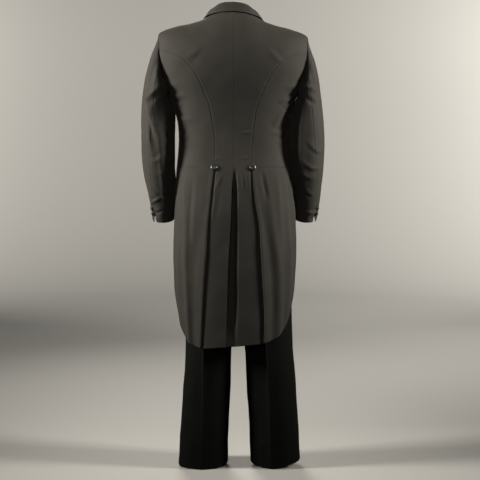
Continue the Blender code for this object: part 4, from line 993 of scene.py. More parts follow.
def shoulder_seam(s):
    """(out, height) from the neck point to the armhole."""
    x = NECK_POINT + (armhole(np.array(0.0))[0] - NECK_POINT) * s
    return np.stack([x, read(SHOULDER, "height", x)], axis=-1)


def back_neckline(s):
    """(out, height) from the middle of the back to the neck point."""
    x = NECK_POINT * s ** NECKLINE_SPREAD
    height = np.where(x < NECK_POINT, read(BACK_NECKLINE, "height", x), shoulder_seam(0.0)[1])
    return np.stack([x, height], axis=-1)


def front_neckline(s):
    """(out, height) from the gorge to the neck point."""
    return along(FRONT_NECKLINE[1:], s)


def tail_surface(side):
    """The back's outside, tucked under the pleat and, on the right, sunk beside the centre vent."""
    name = SIDE_NAMES[side]

    def surface(arc, height):
        point = coat(arc, height)
        below = 1 - ramp(height, VENT_TOP, WAIST_SEAM)
        x, pleat = point[..., 0], read(PLEAT, name, height)
        near, further = (ramp(x, pleat + start, pleat + end) for start, end in (PLEAT_NEAR, PLEAT_FURTHER))
        sunk = PLEAT_DEPTH * (near + PLEAT_GROWTH * further)
        if side < 0:
            deep = RECESS + RECESS_BELOW * (1 - ramp(height, *RECESS_TOP)) * ramp(height, *RECESS_FOOT)
            sunk = sunk + deep * (1 - ramp(x, *RECESS_ACROSS))
        point[..., 1] -= below * (sunk + read(TAIL_HANG, name, height))
        return point

    return surface


def coat_turned(turn, height):
    """The coat's outside at a turn in degrees."""
    return coat(turn * ROUND, height)


COAT_LINES = fold_lines(coat_turned, COAT_FOLDS, 1)


def clear_of_sleeve(rows, column):
    """A trim for a piece that ends at the armhole: on these rows its inside doesn't pass its outside there."""

    def trim(outer, inner, normal, mirror):
        inner[rows, column] = kept_behind(outer[rows, column], inner[rows, column], ARM_AWAY * mirror)

    return trim


def back_panel(side, wool):
    """A back, one length from neck to tail hem: a patch above the waist, and the tail's rows below it."""

    def neck(s):
        return places(back_neckline(s))

    def shoulder(s):
        return places(shoulder_seam(s))

    def arm_edge(s):
        start = 1 - ARM_SHOULDER / ARM_BACK_SEAM
        found = armhole_place(ARM_BACK_SEAM * (1 - np.minimum(s, start)))
        return found + (shoulder(np.ones(1)) - found) * (np.maximum(s - start, 0.0) / (1 - start))[:, None]

    wide, long = PIECE_SIZES["back"]
    top_marks, side_marks = chained(None, neck, shoulder), chained(None, side_back_seam, arm_edge)
    u, v = spaced(wide, COAT_STEP, top_marks), spaced(long, COAT_STEP, side_marks)
    top, right = chained(u, neck, shoulder), chained(v, side_back_seam, arm_edge)
    right[-1] = top[-1]
    left = np.stack([0 * v, WAIST_SEAM + (BACK_NECK - WAIST_SEAM) * v], axis=-1)
    bottom = np.stack([u * right[0, 0], 0 * u + WAIST_SEAM], axis=-1)
    upper = patch(bottom, top, left, right, u, v)
    # The cloth goes on past the waist, so the tail's last five rows, drawn closer for an edge, are left out.
    heights = TAIL_FOOT + (WAIST_SEAM - TAIL_FOOT) * spaced(WAIST_SEAM - TAIL_FOOT, COAT_STEP)[:-5]
    inner = read(TAIL, "over" if side > 0 else "under", heights)[:, None]
    outer = read(TAIL, "tucked", heights)[:, None]
    x = inner + u * (outer - inner)
    level = heights[:, None] + 0 * x
    lower = np.stack([arc_at(x, level), level], axis=-1)
    at_arm = np.concatenate([np.zeros(len(lower), bool), v > side_marks[1] + ARM_MARGIN])
    cloth(f"back_{SIDE_NAMES[side]}", tail_surface(side), np.concatenate([lower, upper]), "coat", side, wool,
          ("hem", "seam", "seam", "seam"), COAT_LINES, trim=clear_of_sleeve(at_arm, -1))


def side_panel(side, wool):
    """A side body, between the side-back seam and the underarm seam."""
    u, v = (spaced(size, COAT_STEP) for size in PIECE_SIZES["side_body"])
    left, right = side_back_seam(v), underarm_seam(v)
    top = armhole_place(ARM_BACK_SEAM + (ARM_UNDER_SEAM - ARM_BACK_SEAM) * u)
    bottom = left[0] + (right[0] - left[0]) * u[:, None]
    cloth(f"side_body_{SIDE_NAMES[side]}", coat, patch(bottom, top, left, right, u, v), "coat", side, wool,
          ("seam", "seam", "seam", "seam"), COAT_LINES)


def closing_surface(side):
    """The forepart's outside: at the closing the left front stands off and the right one lies in."""

    def surface(arc, height):
        point = coat(arc, height)
        near = 1 - ramp(point[..., 0], *LAP_ACROSS)
        level = ramp(height, *LAP_FOOT) * (1 - ramp(height, *LAP_TOP))
        point[..., 1] -= side * LAP * near * level
        return point

    return surface


def front_line(points):
    """A line on the front through points given as (out, height), as a function of the share along it."""

    def line(s):
        return places(along(points, s), False)

    return line


def front_panel(side, wool):
    """A forepart, from the underarm seam and the armhole to the front edge, the roll line and the neck."""

    def arm_edge(s):
        return armhole_place(ARM_UNDER_SEAM + (360 - ARM_UNDER_SEAM) * s - ALMOST)

    wide, long = PIECE_SIZES["forepart"]
    front_parts = [front_line(points) for points in FRONT_LINES]
    side_marks = chained(None, underarm_seam, arm_edge)
    marks = np.unique(np.concatenate([side_marks, chained(None, *front_parts)]).round(MARK_DIGITS))
    u, v = spaced(wide, COAT_STEP), spaced(long, COAT_STEP, marks)
    left, right = chained(v, underarm_seam, arm_edge), chained(v, *front_parts)
    top = places(shoulder_seam(1 - u), False)
    left[-1], right[-1] = top[0], top[-1]
    bottom = left[0] + (right[0] - left[0]) * u[:, None]
    grid = patch(bottom, top, left, right, u, v)
    at_arm = v > side_marks[1] + ARM_MARGIN
    cloth(f"forepart_{SIDE_NAMES[side]}", closing_surface(side), grid, "coat", side, wool,
          ("seam", "seam", "seam", "edge"), COAT_LINES, trim=clear_of_sleeve(at_arm, 0))


def folded_piece(name, rows, step, side, wool, shown):
    """Doubled cloth about a grid of middle points, each row drawn finer. shown is the way that it faces."""
    u = spaced(lengths(rows[len(rows) // 2])[-1], step)
    middle = np.array([along(row, u) for row in rows])
    normal = unit(np.cross(np.gradient(middle, axis=1), np.gradient(middle, axis=0)))
    if normal[len(rows) // 2, FLAT_COLUMN] @ np.array(shown) < 0:
        normal = -normal
    sunk = turned_in(middle, ("edge", "edge", "plain", "edge"))
    push = (FOLDED_UNEVEN * uneven(middle) - sunk)[..., None]
    outer = (middle + normal * (FOLDED_CLOTH / 2 + push)) * mirrored(side)
    inner = (middle - normal * FOLDED_CLOTH / 2) * mirrored(side)
    finished(shell(name + "_cloth", outer, inner, "coat", side, wool), name, "coat_wool")


def lapel(side, wool):
    """The lapel: it rises from the forepart's edge, turns over at the roll line and lies on the chest."""
    surface = closing_surface(side)
    v = 1 - (1 - spaced(LAPEL_LENGTH, COAT_STEP)) ** LAPEL_CLOSING
    roll, edge = along(ROLL_LINE, v), along(LAPEL_EDGE, v)
    start = roll + np.array(LAPEL_START)
    start[-1] = LAPEL_TOP
    # The top edge is drawn from its start to the notch and on to the peak.
    to_notch = along([start[-1], NOTCH], np.linspace(0, 1, 4))
    to_peak = along([NOTCH, edge[-1]], np.linspace(0, 1, 3))
    top = np.concatenate([to_notch, to_peak[1:]])
    bottom = along([start[0], edge[0]], np.linspace(0, 1, len(top)))
    u, up = (shares(bottom) + shares(top)) / 2, (shares(start) + shares(edge)) / 2
    line = np.gradient(roll, axis=0)
    way = np.stack([-line[:, 1], 0 * v, line[:, 0]], axis=-1)
    spot, normal = faced_at(surface, roll)
    inwards = square_to(way, normal)
    columns = [spot + inwards * d * MM + normal * n * MM for d, n in LAPEL_TURN]
    chest, facing = faced_at(surface, patch(bottom, top, start, edge, u, up))
    rows = np.concatenate([np.stack(columns, axis=1), chest + facing * LAPEL_LIFT], axis=1)
    folded_piece(f"lapel_{SIDE_NAMES[side]}", rows, LAPEL_STEP, side, wool, (0.0, -1.0, 0.0))


def collar(wool):
    """The collar, one piece from gorge to gorge: the stand goes up, turns over and comes down as the fall."""
    s = np.linspace(0, 1, COLLAR_ROWS)
    behind = s <= NECK_SHARE
    in_front = front_neckline(1 - (s[~behind] - NECK_SHARE) / (1 - NECK_SHARE))
    point, normal = faced_at(coat, np.concatenate([back_neckline(s[behind] / NECK_SHARE), in_front]), behind)
    blend = ramp(s, *RISE_CHANGE)[:, None]
    rise = unit((1 - blend) * unit(np.array(RISE_BEHIND)) + blend * unit(np.array(RISE_AT_GORGE)))
    along_cloth, out = square_to(rise, normal), square_to(normal, rise)
    foot = point - normal * COAT_CLOTH / 2 + along_cloth * COLLAR_GAP
    stand_height = np.maximum(read(COLLAR, "stand", s) - COLLAR_FOLD, LEAST_STAND)[:, None]
    centre = foot + rise * stand_height + out * COLLAR_FOLD
    columns = [foot, foot + along_cloth * COLLAR_FOOT]
    for angle in np.radians((180, 135, 90, 45, 0)):
        columns.append(centre + COLLAR_FOLD * (math.cos(angle) * out + math.sin(angle) * rise))
    edge_out = read(COLLAR, "edge_out", s)
    edge_height = np.minimum(read(COLLAR, "edge_height", s), read(SHOULDER, "height", edge_out) - COLLAR_BELOW)
    edge, facing = faced_at(coat, np.stack([edge_out, edge_height], axis=-1), s < FALL_BEHIND)
    edge = edge + facing * (COLLAR_LIFT + FOLDED_CLOTH / 2)
    last = columns[-1]
    for step in FALL_STEPS:
        bulge = (math.sin(math.pi * step) * FALL_BULGE * ramp(s, *FALL_BULGE_START))[:, None]
        columns.append(last + (edge - last) * step + facing * bulge)
    half = np.stack(columns, axis=1)
    rows = np.concatenate([half[:0:-1] * mirrored(-1), half])
    folded_piece("collar", rows, COLLAR_STEP, 1, wool, (0.0, 1.0, 0.0))


def skirt_surface(side):
    """The skirt's outside with its soft folds, which start below the waist and deepen towards the hem."""

    def surface(arc, height):
        point = coat(arc, height)
        turn = arc / ROUND
        drop = 1 - ramp(height, FOLDS_LOW, WAIST_SEAM)
        push = 0.0
        for turn_top, turn_hem, half, depth, top, fold_side in SKIRT_FOLDS:
            if fold_side == side:
                middle = turn_top + (turn_hem - turn_top) * drop
                begun = 1 - ramp(height, top - FOLDS_FADE, top)
                push = push + depth * np.exp(-(((turn - middle) / half) ** 2)) * begun
        width = read(COAT, "half_width", height)
        away = np.stack([point[..., 0] / width ** 2, point[..., 1] / SKIRT_DEPTH ** 2, 0 * width], axis=-1)
        return point + unit(away) * np.asarray(push)[..., None]

    return surface


def skirt(side, wool):
    """A skirt, from the side pleat round to the cutaway front edge, sewn on at the waist seam."""
    name = SIDE_NAMES[side]
    u, v = (spaced(size, COAT_STEP) for size in PIECE_SIZES["skirt"])
    turns = SKIRT_BACK + (SKIRT_FRONT - SKIRT_BACK) * u
    bottom = np.stack([turns * ROUND, read(SKIRT_HEM, "height", turns)], axis=-1)
    heights = bottom[0, 1] + (WAIST_SEAM - bottom[0, 1]) * v
    left = np.stack([arc_at(read(PLEAT, name, heights), heights), heights], axis=-1)
    bottom[0] = left[0]
    top = np.stack([left[-1, 0] + u * (SKIRT_FRONT * ROUND - left[-1, 0]), 0 * u + WAIST_SEAM], axis=-1)
    right = bottom[-1] + (top[-1] - bottom[-1]) * v[:, None]
    across, up = (shares(bottom) + shares(top)) / 2, (shares(left) + shares(right)) / 2

    def trim(outer, inner, normal, mirror):
        near = np.exp(-((lengths(outer, axis=1) / PLEAT_ROLL_WIDTH) ** 2))
        near = near * (ramp(v, *PLEAT_ROLL_FOOT) * (1 - ramp(v, *PLEAT_ROLL_TOP)))[:, None]
        outer += normal * near[..., None] * PLEAT_ROLL
        inner -= normal * near[..., None] * PLEAT_TUCK

    cloth(f"skirt_{name}", skirt_surface(side), patch(bottom, top, left, right, across, up), "coat", side, wool,
          ("hem", "seam", "pleat", "edge"), COAT_LINES, trim=trim)


def sleeve(side):
    """The sleeve's outside: the place is a turn round it and a ring along it."""

    def ring_point(turn, ring, name):
        zero = 0 * ring
        outs = (read(SLEEVE, f"{edge}_{name}", ring) for edge in ("outer", "inner"))
        heights = (read(SLEEVE, f"{edge}_height", ring) for edge in ("outer", "inner"))
        outer, inner = (np.stack([out, zero, height], axis=-1) for out, height in zip(outs, heights))
        behind = np.stack([zero, zero + 1.0, read(SLEEVE, "slope", ring)], axis=-1)
        angle = np.radians(turn)[..., None]
        middle = (outer + inner) / 2 + np.stack([zero, read(SLEEVE, "behind", ring), zero], axis=-1)
        depth = read(SLEEVE, "half_depth", ring)[..., None]
        return middle + (outer - inner) / 2 * np.cos(angle) + behind * depth * np.sin(angle)

    def surface(turn, ring):
        turn, ring = np.broadcast_arrays(np.asarray(turn, float), np.asarray(ring, float))
        joined = (1 - ramp(ring, 0.0, SLEEVE_JOIN))[..., None]
        shift = armhole(turn) + ARM_AWAY * SLEEVE_GAP - ring_point(turn, 0 * ring, "left")
        return ring_point(turn, ring, SIDE_NAMES[side]) + shift * joined

    return surface


def sleeve_facing(surface, turn, ring, degrees, rings):
    """The way that a sleeve's outside faces, from its points this far to either side."""
    across = surface(turn + degrees, ring) - surface(turn - degrees, ring)
    down = surface(turn, np.minimum(ring + rings, RINGS_ALONG)) - surface(turn, np.maximum(ring - rings, 0))
    return unit(np.cross(down, across))


def arm_piece(side, upper, wool):
    """An upper or under sleeve. Both draw back from the vent at the cuff, and the upper one flares there."""
    name = SIDE_NAMES[side]
    title = "upper_sleeve" if upper else "under_sleeve"
    wide, long = PIECE_SIZES[title]
    surface = sleeve(side)
    u, rings = spaced(wide, COAT_STEP), RINGS_ALONG * spaced(long, COAT_STEP)
    hind, fore = read(SLEEVE, "hind", rings), read(SLEEVE, "fore", rings)
    opened = np.interp(rings, *CUFF_VENT)
    first, last = (fore - 360, hind - opened) if upper else (hind + opened, fore)
    turns = first[:, None] + (last - first)[:, None] * u
    ring = rings[:, None] + 0 * turns
    mirror = mirrored(side)
    base, normal = surface(turns, ring) * mirror, sleeve_facing(surface, turns, ring, *SLEEVE_SPAN) * mirror
    folds = fold_lines(surface, SLEEVE_FOLDS[name], side)
    push = pressed(base, normal, folds) + uneven(base) - turned_in(base, ("seam", "hem", "seam", "seam"))
    if upper:
        push += VENT_FLARE * np.exp(-((1 - u) * wide / VENT_FLARE_WIDTH) ** 2) * ramp(ring, *VENT_FLARE_RINGS)
    outer = base + normal * push[..., None]
    inner = outer - COAT_CLOTH * normal
    inner[0] = kept_behind(outer[0], inner[0], -ARM_AWAY * mirror)
    finished(shell(f"{title}_{name}_cloth", outer, inner, "sleeve", side, wool), f"{title}_{name}", "coat_wool")


def trouser(turn, height, crease):
    """A point on a leg. turn is 0 at the outseam, 180 at the inside behind and -180 at the inside in front."""
    behind = np.where(turn >= 0, 1.0, -1.0)
    share = np.abs(turn) / 180
    leg_height = np.minimum(height, CROTCH)
    half = read(LEG, "half_width", leg_height)
    shift = np.degrees(np.arcsin(np.clip(crease / half, -MOST_SHIFT, MOST_SHIFT)))
    angle = np.radians(180 * (share + (-shift / 180) * (1 - np.abs(2 * share - 1))))
    depth = np.where(behind > 0, read(LEG, "back", leg_height), read(LEG, "front", leg_height))
    x = read(LEG, "inner", leg_height) + half + half * np.cos(angle)
    y = read(LEG, "behind", leg_height) + behind * depth * np.sin(angle)
    ridge = behind * CREASE * np.exp(-(((share - 0.5) / CREASE_WIDTH) ** 2)) * (1 - ramp(height, *CREASE_FADE))
    y = y + ridge
    rise = np.clip((height - CROTCH) / (HIP_TOP - CROTCH), 0.0, 1.0)
    joined = np.sqrt(1 - (1 - rise) ** 2)
    power = 2 / HIP_SQUARENESS
    round_hip = np.radians(90 * share ** HIP_SPREAD)
    hip_depth = np.where(behind > 0, read(HIPS, "back", height), read(HIPS, "front", height))
    hip_x = read(HIPS, "half_width", height) * np.maximum(np.cos(round_hip), 0.0) ** power
    hip_y = behind * hip_depth * np.sin(round_hip) ** power + ridge
    x, y = (1 - joined) * x + joined * hip_x, (1 - joined) * y + joined * hip_y
    drop = HEM_SLANT * np.sin(np.radians(turn)) * (1 - ramp(height, HEM_SIDE, HEM_SLANT_TOP))
    return np.stack([x, y, height - drop], axis=-1)


def leg_panel(side, behind, wool):
    """A leg's back or front, from the outseam to the inside, pressed to a crease down its middle."""
    name, sign = SIDE_NAMES[side], 1 if behind else -1

    def figure(turn, height):
        return trouser(turn, height, read(CREASE_SHIFT, name, np.minimum(height, CROTCH)))

    def surface(arc, height):
        return figure(sign * np.clip(arc / ROUND, 0.0, 180.0), height)

    u, v = (spaced(size, LEG_STEP) for size in PIECE_SIZES["trouser"])
    u = np.sort(np.concatenate([u[abs(u - 0.5) > PRESSED_REACH], 0.5 + PRESSED_STEPS]))
    arcs = STEP + (180 * ROUND - 2 * STEP) * u
    grid = np.stack(np.meshgrid(arcs, HEM_SIDE + (BAND_BOTTOM - HEM_SIDE) * v), axis=-1)
    title = f"trouser_{'back' if behind else 'front'}_{name}"
    cloth(title, surface, grid, "trousers", side, wool, ("hem", "seam", "seam", "seam"),
          fold_lines(figure, TROUSER_FOLDS[name], side), -sign, TROUSER_CLOTH, slots="trouser_wool")


def waistband(wool):
    """The band round the top, its left end lapped over its right one at the front."""
    turns = np.radians(np.linspace(180 - BAND_LAP, -180 - BAND_LAP, BAND_POINTS))
    power = 2 / HIP_SQUARENESS
    height = np.linspace(BAND_BOTTOM + SEAM, BAND_TOP, BAND_ROWS)[:, None] + 0 * turns
    depth = np.where(np.cos(turns) > 0, read(HIPS, "back", height), read(HIPS, "front", height))
    x = np.sign(np.sin(turns)) * read(HIPS, "half_width", height) * np.abs(np.sin(turns)) ** power
    y = depth * np.abs(np.cos(turns)) ** power * np.sign(np.cos(turns))
    outer = np.stack([x, y, height], axis=-1)
    normal = unit(np.cross(np.gradient(outer, axis=1), np.gradient(outer, axis=0)))
    if (normal[..., :2] * outer[..., :2]).sum() < 0:
        normal = -normal
    lift = BAND_LIFT * ramp(np.linspace(0, 1, BAND_POINTS), *BAND_LIFTED)
    outer = outer + normal * (lift - turned_in(outer, ("seam", "edge", "edge", "edge")))[..., None]
    made = shell("trouser_waistband_cloth", outer, outer - normal * TROUSER_CLOTH, "trousers", 1, wool)
    finished(made, "trouser_waistband", "trouser_wool")


def fly(wool):
    """The placket that laps the left front at the fly: a flap on the panel's own points, moved out."""
    rows, columns = FLY_GRID
    heights = np.linspace(FLY_FOOT, BAND_BOTTOM - SEAM, rows)
    down = 1 - ramp(heights, FLY_FOOT, FLY_FOOT + FLY_ROUNDING)
    width = FLY_WIDTH - (FLY_WIDTH - FLY_FOOT_WIDTH) * down ** 2
    start, across = FLY_TURNS
    turn = -180 + (start + np.linspace(0, 1, columns)[None] * width[:, None] / FLY_WIDTH * across)
    point = trouser(turn, heights[:, None] + 0 * turn, 0.0) + np.array(FLY_OFF)
    sunk = turned_in(point, ("edge", "edge", "edge", "edge"))[..., None]
    outer = point + np.array((0.0, -FLY_CLOTH, 0.0)) * (1 - sunk / FLY_CLOTH)
    finished(shell("trouser_fly_cloth", outer, point, "trousers", 1, wool), "trouser_fly", "trouser_wool")


def linear(colour):
    """An sRGB hex colour as linear values."""
    parts = [int(colour[k:k + 2], 16) / 255 for k in (1, 3, 5)]
    return (*(c / 12.92 if c <= 0.04045 else ((c + 0.055) / 1.055) ** 2.4 for c in parts), 1.0)


def add_node(tree, kind, settings=None, **links):
    """A node with its settings, and a value or an output for each socket. _3 is the socket with that number."""
    made = tree.nodes.new(kind)
    for name, value in (settings or {}).items():
        setattr(made, name, value)
    for name, value in links.items():
        socket = made.inputs[int(name[1:])] if name[0] == "_" else made.inputs[name.replace("_", " ")]
        if isinstance(value, bpy.types.NodeSocket):
            tree.links.new(value, socket)
        else:
            socket.default_value = value
    return made


def woven(name, shade, lit, rib, rib_depth, roughness, sheen, sheen_tint, fuzz, shine):
    """A woven cloth: diagonal ribs, unevenness from thread to thread, and patches that have rubbed paler."""
    made = bpy.data.materials.new(name)
    made.use_nodes = True
    tree = made.node_tree
    shader = tree.nodes["Principled BSDF"]
    flat = add_node(tree, "ShaderNodeTexCoord").outputs
    scale = 2 * math.pi / (WAVE_TURNS * rib * math.sqrt(2))
    ribs = add_node(tree, "ShaderNodeTexWave", {"wave_type": "BANDS", "bands_direction": "DIAGONAL"},
                    Vector=flat["UV"], Scale=scale, Distortion=0.6, Detail=1.0, Detail_Scale=2.0)
    threads = add_node(tree, "ShaderNodeTexNoise", Vector=flat["UV"], Scale=1 / THREAD_PATCH, Detail=3.0,
                       Roughness=0.6)
    worn = add_node(tree, "ShaderNodeTexNoise", Vector=flat["Object"], Scale=1 / WORN_PATCH, Detail=3.0,
                    Roughness=0.55)
    rubbed = add_node(tree, "ShaderNodeMath", {"operation": "MULTIPLY"}, _0=worn.outputs["Fac"], _1=WORN_TONE)
    tone = add_node(tree, "ShaderNodeMath", {"operation": "MULTIPLY_ADD"}, _0=threads.outputs["Fac"],
                    _1=THREAD_TONE, _2=rubbed.outputs[0])
    colour = add_node(tree, "ShaderNodeMix", {"data_type": "RGBA"}, _0=tone.outputs[0], _6=linear(shade),
                      _7=linear(lit))
    relief = add_node(tree, "ShaderNodeMath", {"operation": "MULTIPLY_ADD"}, _0=threads.outputs["Fac"], _1=fuzz,
                      _2=ribs.outputs["Fac"])
    bump = add_node(tree, "ShaderNodeBump", Height=relief.outputs[0], Strength=1.0, Distance=rib_depth)
    tree.links.new(colour.outputs[2], shader.inputs["Base Color"])
    tree.links.new(bump.outputs["Normal"], shader.inputs["Normal"])
    for socket, value in (("Metallic", 0.0), ("Roughness", roughness), ("IOR", 1.5), ("Sheen Weight", sheen),
                          ("Sheen Roughness", 0.5), ("Sheen Tint", linear(sheen_tint)),
                          ("Specular IOR Level", shine)):
        shader.inputs[socket].default_value = value
    return made


def turned_form(profile, sides, closed):
    """Spots and faces of a (radius, height) profile turned round the upright axis, from its end on the axis.

    Where it is closed, its other end lies on the axis too.
    """
    rings = profile[1:-1] if closed else profile[1:]
    angle = np.radians(np.arange(0, 360, 360 / sides))
    spots = [(0.0, 0.0, profile[0][1])]
    spots += [(r * math.cos(a), r * math.sin(a), z) for r, z in rings for a in angle]
    faces, last = [], 1 + (len(rings) - 1) * sides
    for k in range(sides):
        after = (k + 1) % sides
        faces.append((0, 1 + k, 1 + after))
        faces += [(a + k, a + k + sides, a + after + sides, a + after) for a in range(1, last, sides)]
        if closed:
            faces.append((last + sides, last + after, last + k))
    if closed:
        spots.append((0.0, 0.0, profile[-1][1]))
    return spots, faces


def covered_button(node, point, normal, size, satin, kind, side):
    """A button covered in cloth: a low dome over its mould, with a rolled rim and its gathered back."""
    radius, rise = size
    profile = along([(r * radius, h * rise) for r, h in BUTTON_PROFILE], np.linspace(0, 1, BUTTON_RINGS))
    spot, way = Vector(stand(point * mirrored(side), kind)), Vector(normal * mirrored(side))
    turned = way.to_track_quat("Z", "Y").to_matrix()
    spots, faces = turned_form(profile, BUTTON_SIDES, True)
    spots = [tuple(turned @ Vector(p) + spot + way * SEAM) for p in spots]
    name = node + "_covered"
    made = linked(name, meshed(name, spots, faces, np.array(spots)[:, (0, 2)], satin))
    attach(made, "root")
    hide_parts(node)


def buttons(satin):
    """The waist buttons at the tops of the pleats, two buttons at each cuff, and the front button."""
    point, normal = faced_at(coat, np.array(WAIST_BUTTON), True)
    for side, name in SIDE_NAMES.items():
        covered_button(f"waist_button_{name}", point, normal, WAIST_BUTTON_SIZE, satin, "coat", side)
        surface = sleeve(side)
        for k, (turn, ring) in enumerate(CUFF_BUTTONS):
            facing = sleeve_facing(surface, turn, ring, *BUTTON_SPAN)
            spot = surface(turn, ring) + facing * CUFF_BUTTON_OFF
            covered_button(f"cuff_button_{name}_{k + 1}", spot, facing, CUFF_BUTTON_SIZE, satin, "sleeve", side)
    spot, _ = faced_at(closing_surface(1), np.array(FRONT_BUTTON))
    covered_button("front_button", spot, np.array((0.0, -1.0, 0.0)), FRONT_BUTTON_SIZE, satin, "coat", 1)


def stitch_tree(thread):
    """Stitches along a line: one every space, each a tight loop of thread on the cloth, uneven as by hand."""
    tree = bpy.data.node_groups.new("hand stitches", "GeometryNodeTree")
    tree.interface.new_socket("Line", in_out="INPUT", socket_type="NodeSocketGeometry")
    for size in STITCH_SIZES:
        tree.interface.new_socket(size, in_out="INPUT", socket_type="NodeSocketFloat")
    tree.interface.new_socket("Stitches", in_out="OUTPUT", socket_type="NodeSocketGeometry")
    given = tree.nodes.new("NodeGroupInput").outputs
    curve = add_node(tree, "GeometryNodeMeshToCurve", Mesh=given["Line"])
    places_along = add_node(tree, "GeometryNodeResampleCurve", {"mode": "LENGTH"}, Curve=curve.outputs[0],
                            Length=given["Space"])
    facing = add_node(tree, "GeometryNodeInputNamedAttribute", {"data_type": "FLOAT_VECTOR"}, Name="facing")
    ahead = add_node(tree, "GeometryNodeInputTangent")
    lying = add_node(tree, "FunctionNodeAxesToRotation", {"primary_axis": "Z", "secondary_axis": "X"},
                     _0=facing.outputs["Attribute"], _1=ahead.outputs[0])
    askew = add_node(tree, "FunctionNodeRandomValue", {"data_type": "FLOAT"}, _2=-STITCH_ASKEW, _3=STITCH_ASKEW,
                     _8=STITCH_SEED)
    turn = add_node(tree, "ShaderNodeMath", {"operation": "ADD"}, _0=given["Turn"], _1=askew.outputs[1])
    about = add_node(tree, "ShaderNodeCombineXYZ", Z=turn.outputs[0])
    local = add_node(tree, "FunctionNodeEulerToRotation", Euler=about.outputs[0])
    turned = add_node(tree, "FunctionNodeRotateRotation", {"rotation_space": "LOCAL"}, _0=lying.outputs[0],
                      _1=local.outputs[0])
    loop = add_node(tree, "GeometryNodeMeshUVSphere", Segments=10, Rings=6, Radius=0.5)
    size = add_node(tree, "ShaderNodeCombineXYZ", X=given["Length"], Y=given["Width"], Z=given["Height"])
    least, greatest = STITCH_SLACK
    slack = add_node(tree, "FunctionNodeRandomValue", {"data_type": "FLOAT"}, _2=least, _3=greatest,
                     _8=STITCH_SEED + 1)
    scaled = add_node(tree, "ShaderNodeVectorMath", {"operation": "SCALE"}, _0=size.outputs[0],
                      _3=slack.outputs[1])
    sewn = add_node(tree, "GeometryNodeInstanceOnPoints", Points=places_along.outputs[0],
                    Instance=loop.outputs[0], Rotation=turned.outputs[0], Scale=scaled.outputs[0])
    real = add_node(tree, "GeometryNodeRealizeInstances", Geometry=sewn.outputs[0])
    smooth = add_node(tree, "GeometryNodeSetShadeSmooth", Geometry=real.outputs[0])
    finish = add_node(tree, "GeometryNodeSetMaterial", Geometry=smooth.outputs[0], Material=thread)
    tree.links.new(finish.outputs[0], tree.nodes.new("NodeGroupOutput").inputs[0])
    return tree


def stitched(name, row, kind, tree):
    """The stitches of one kind along a row of spots, given with the way that the cloth faces at each."""
    spots, facing = row
    mesh = bpy.data.meshes.new(name + " line")
    mesh.from_pydata(spots.tolist(), [(k, k + 1) for k in range(len(spots) - 1)], [])
    away = mesh.attributes.new("facing", "FLOAT_VECTOR", "POINT")
    away.data.foreach_set("vector", facing.astype(np.float32).reshape(-1))
    line = linked(name + " line", mesh)
    sewn = line.modifiers.new("stitches", "NODES")
    sewn.node_group = tree
    sizes = dict(zip(STITCH_SIZES, STITCHES[kind]))
    for item in tree.interface.items_tree:
        if item.in_out == "INPUT" and item.name in sizes:
            sewn[item.identifier] = sizes[item.name]
    graph = bpy.context.evaluated_depsgraph_get()
    plain = bpy.data.meshes.new_from_object(line.evaluated_get(graph), depsgraph=graph)
    bpy.data.objects.remove(line)
    made = linked(name, plain)
    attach(made, "root")


def inside_edge(name, hem):
    """The row inside a piece's hem, or else its last side, on its outside, which stops short of the corners."""
    points, facing = (grid.transpose(1, 0, 2) if hem else grid[:, ::-1] for grid in grids[name])
    reach = lengths(points, axis=1)

    def at_inset(rows):
        return np.array([[np.interp(PICK_INSET, r, values) for values in row.T] for r, row in zip(reach, rows)])

    spots, away = at_inset(points), at_inset(facing)
    run = lengths(spots)
    kept = (run > PICK_ENDS) & (run < run[-1] - PICK_ENDS)
    return spots[kept], unit(away)[kept]


def buttonhole(name, out, height, slope, long):
    """The row of a buttonhole's stitches on a piece of the left side, laid on the cloth's own face."""
    points, facing = grids[name]
    place = stand(np.array((out, 0.0, height)), "coat")
    nearest = np.linalg.norm((points - place)[..., (0, 2)], axis=-1)
    row, column = np.unravel_index(nearest.argmin(), nearest.shape)
    middle, away = points[row, column], facing[row, column]
    way = square_to(np.array((math.cos(math.radians(slope)), 0.0, math.sin(math.radians(slope)))), away)
    across = np.cross(away, way)
    loop = along([(share * long, side * MM) for share, side in HOLE_LINE], np.linspace(0, 1, HOLE_POINTS))
    spots = middle + loop[:, :1] * way + loop[:, 1:] * across
    near = np.linalg.norm(points[None] - spots[:, None, None], axis=-1).reshape(len(spots), -1).argmin(axis=1)
    on, normal = points.reshape(-1, 3)[near], facing.reshape(-1, 3)[near]
    return spots + normal * ((on - spots) * normal).sum(axis=1)[:, None], normal


def stitching(thread):
    """Hand stitches inside the edges of lapels, collar and fronts, and the worked buttonholes."""
    tree = stitch_tree(thread)
    for side in SIDE_NAMES.values():
        stitched(f"lapel_stitches_{side}", inside_edge(f"lapel_{side}_cloth", False), "picked", tree)
        stitched(f"front_stitches_{side}", inside_edge(f"skirt_{side}_cloth", True), "picked", tree)
    stitched("collar_stitches", inside_edge("collar_cloth", False), "picked", tree)
    for hole in BUTTONHOLES:
        stitched("buttonhole_" + hole[0].split("_")[0], buttonhole(*hole), "worked", tree)


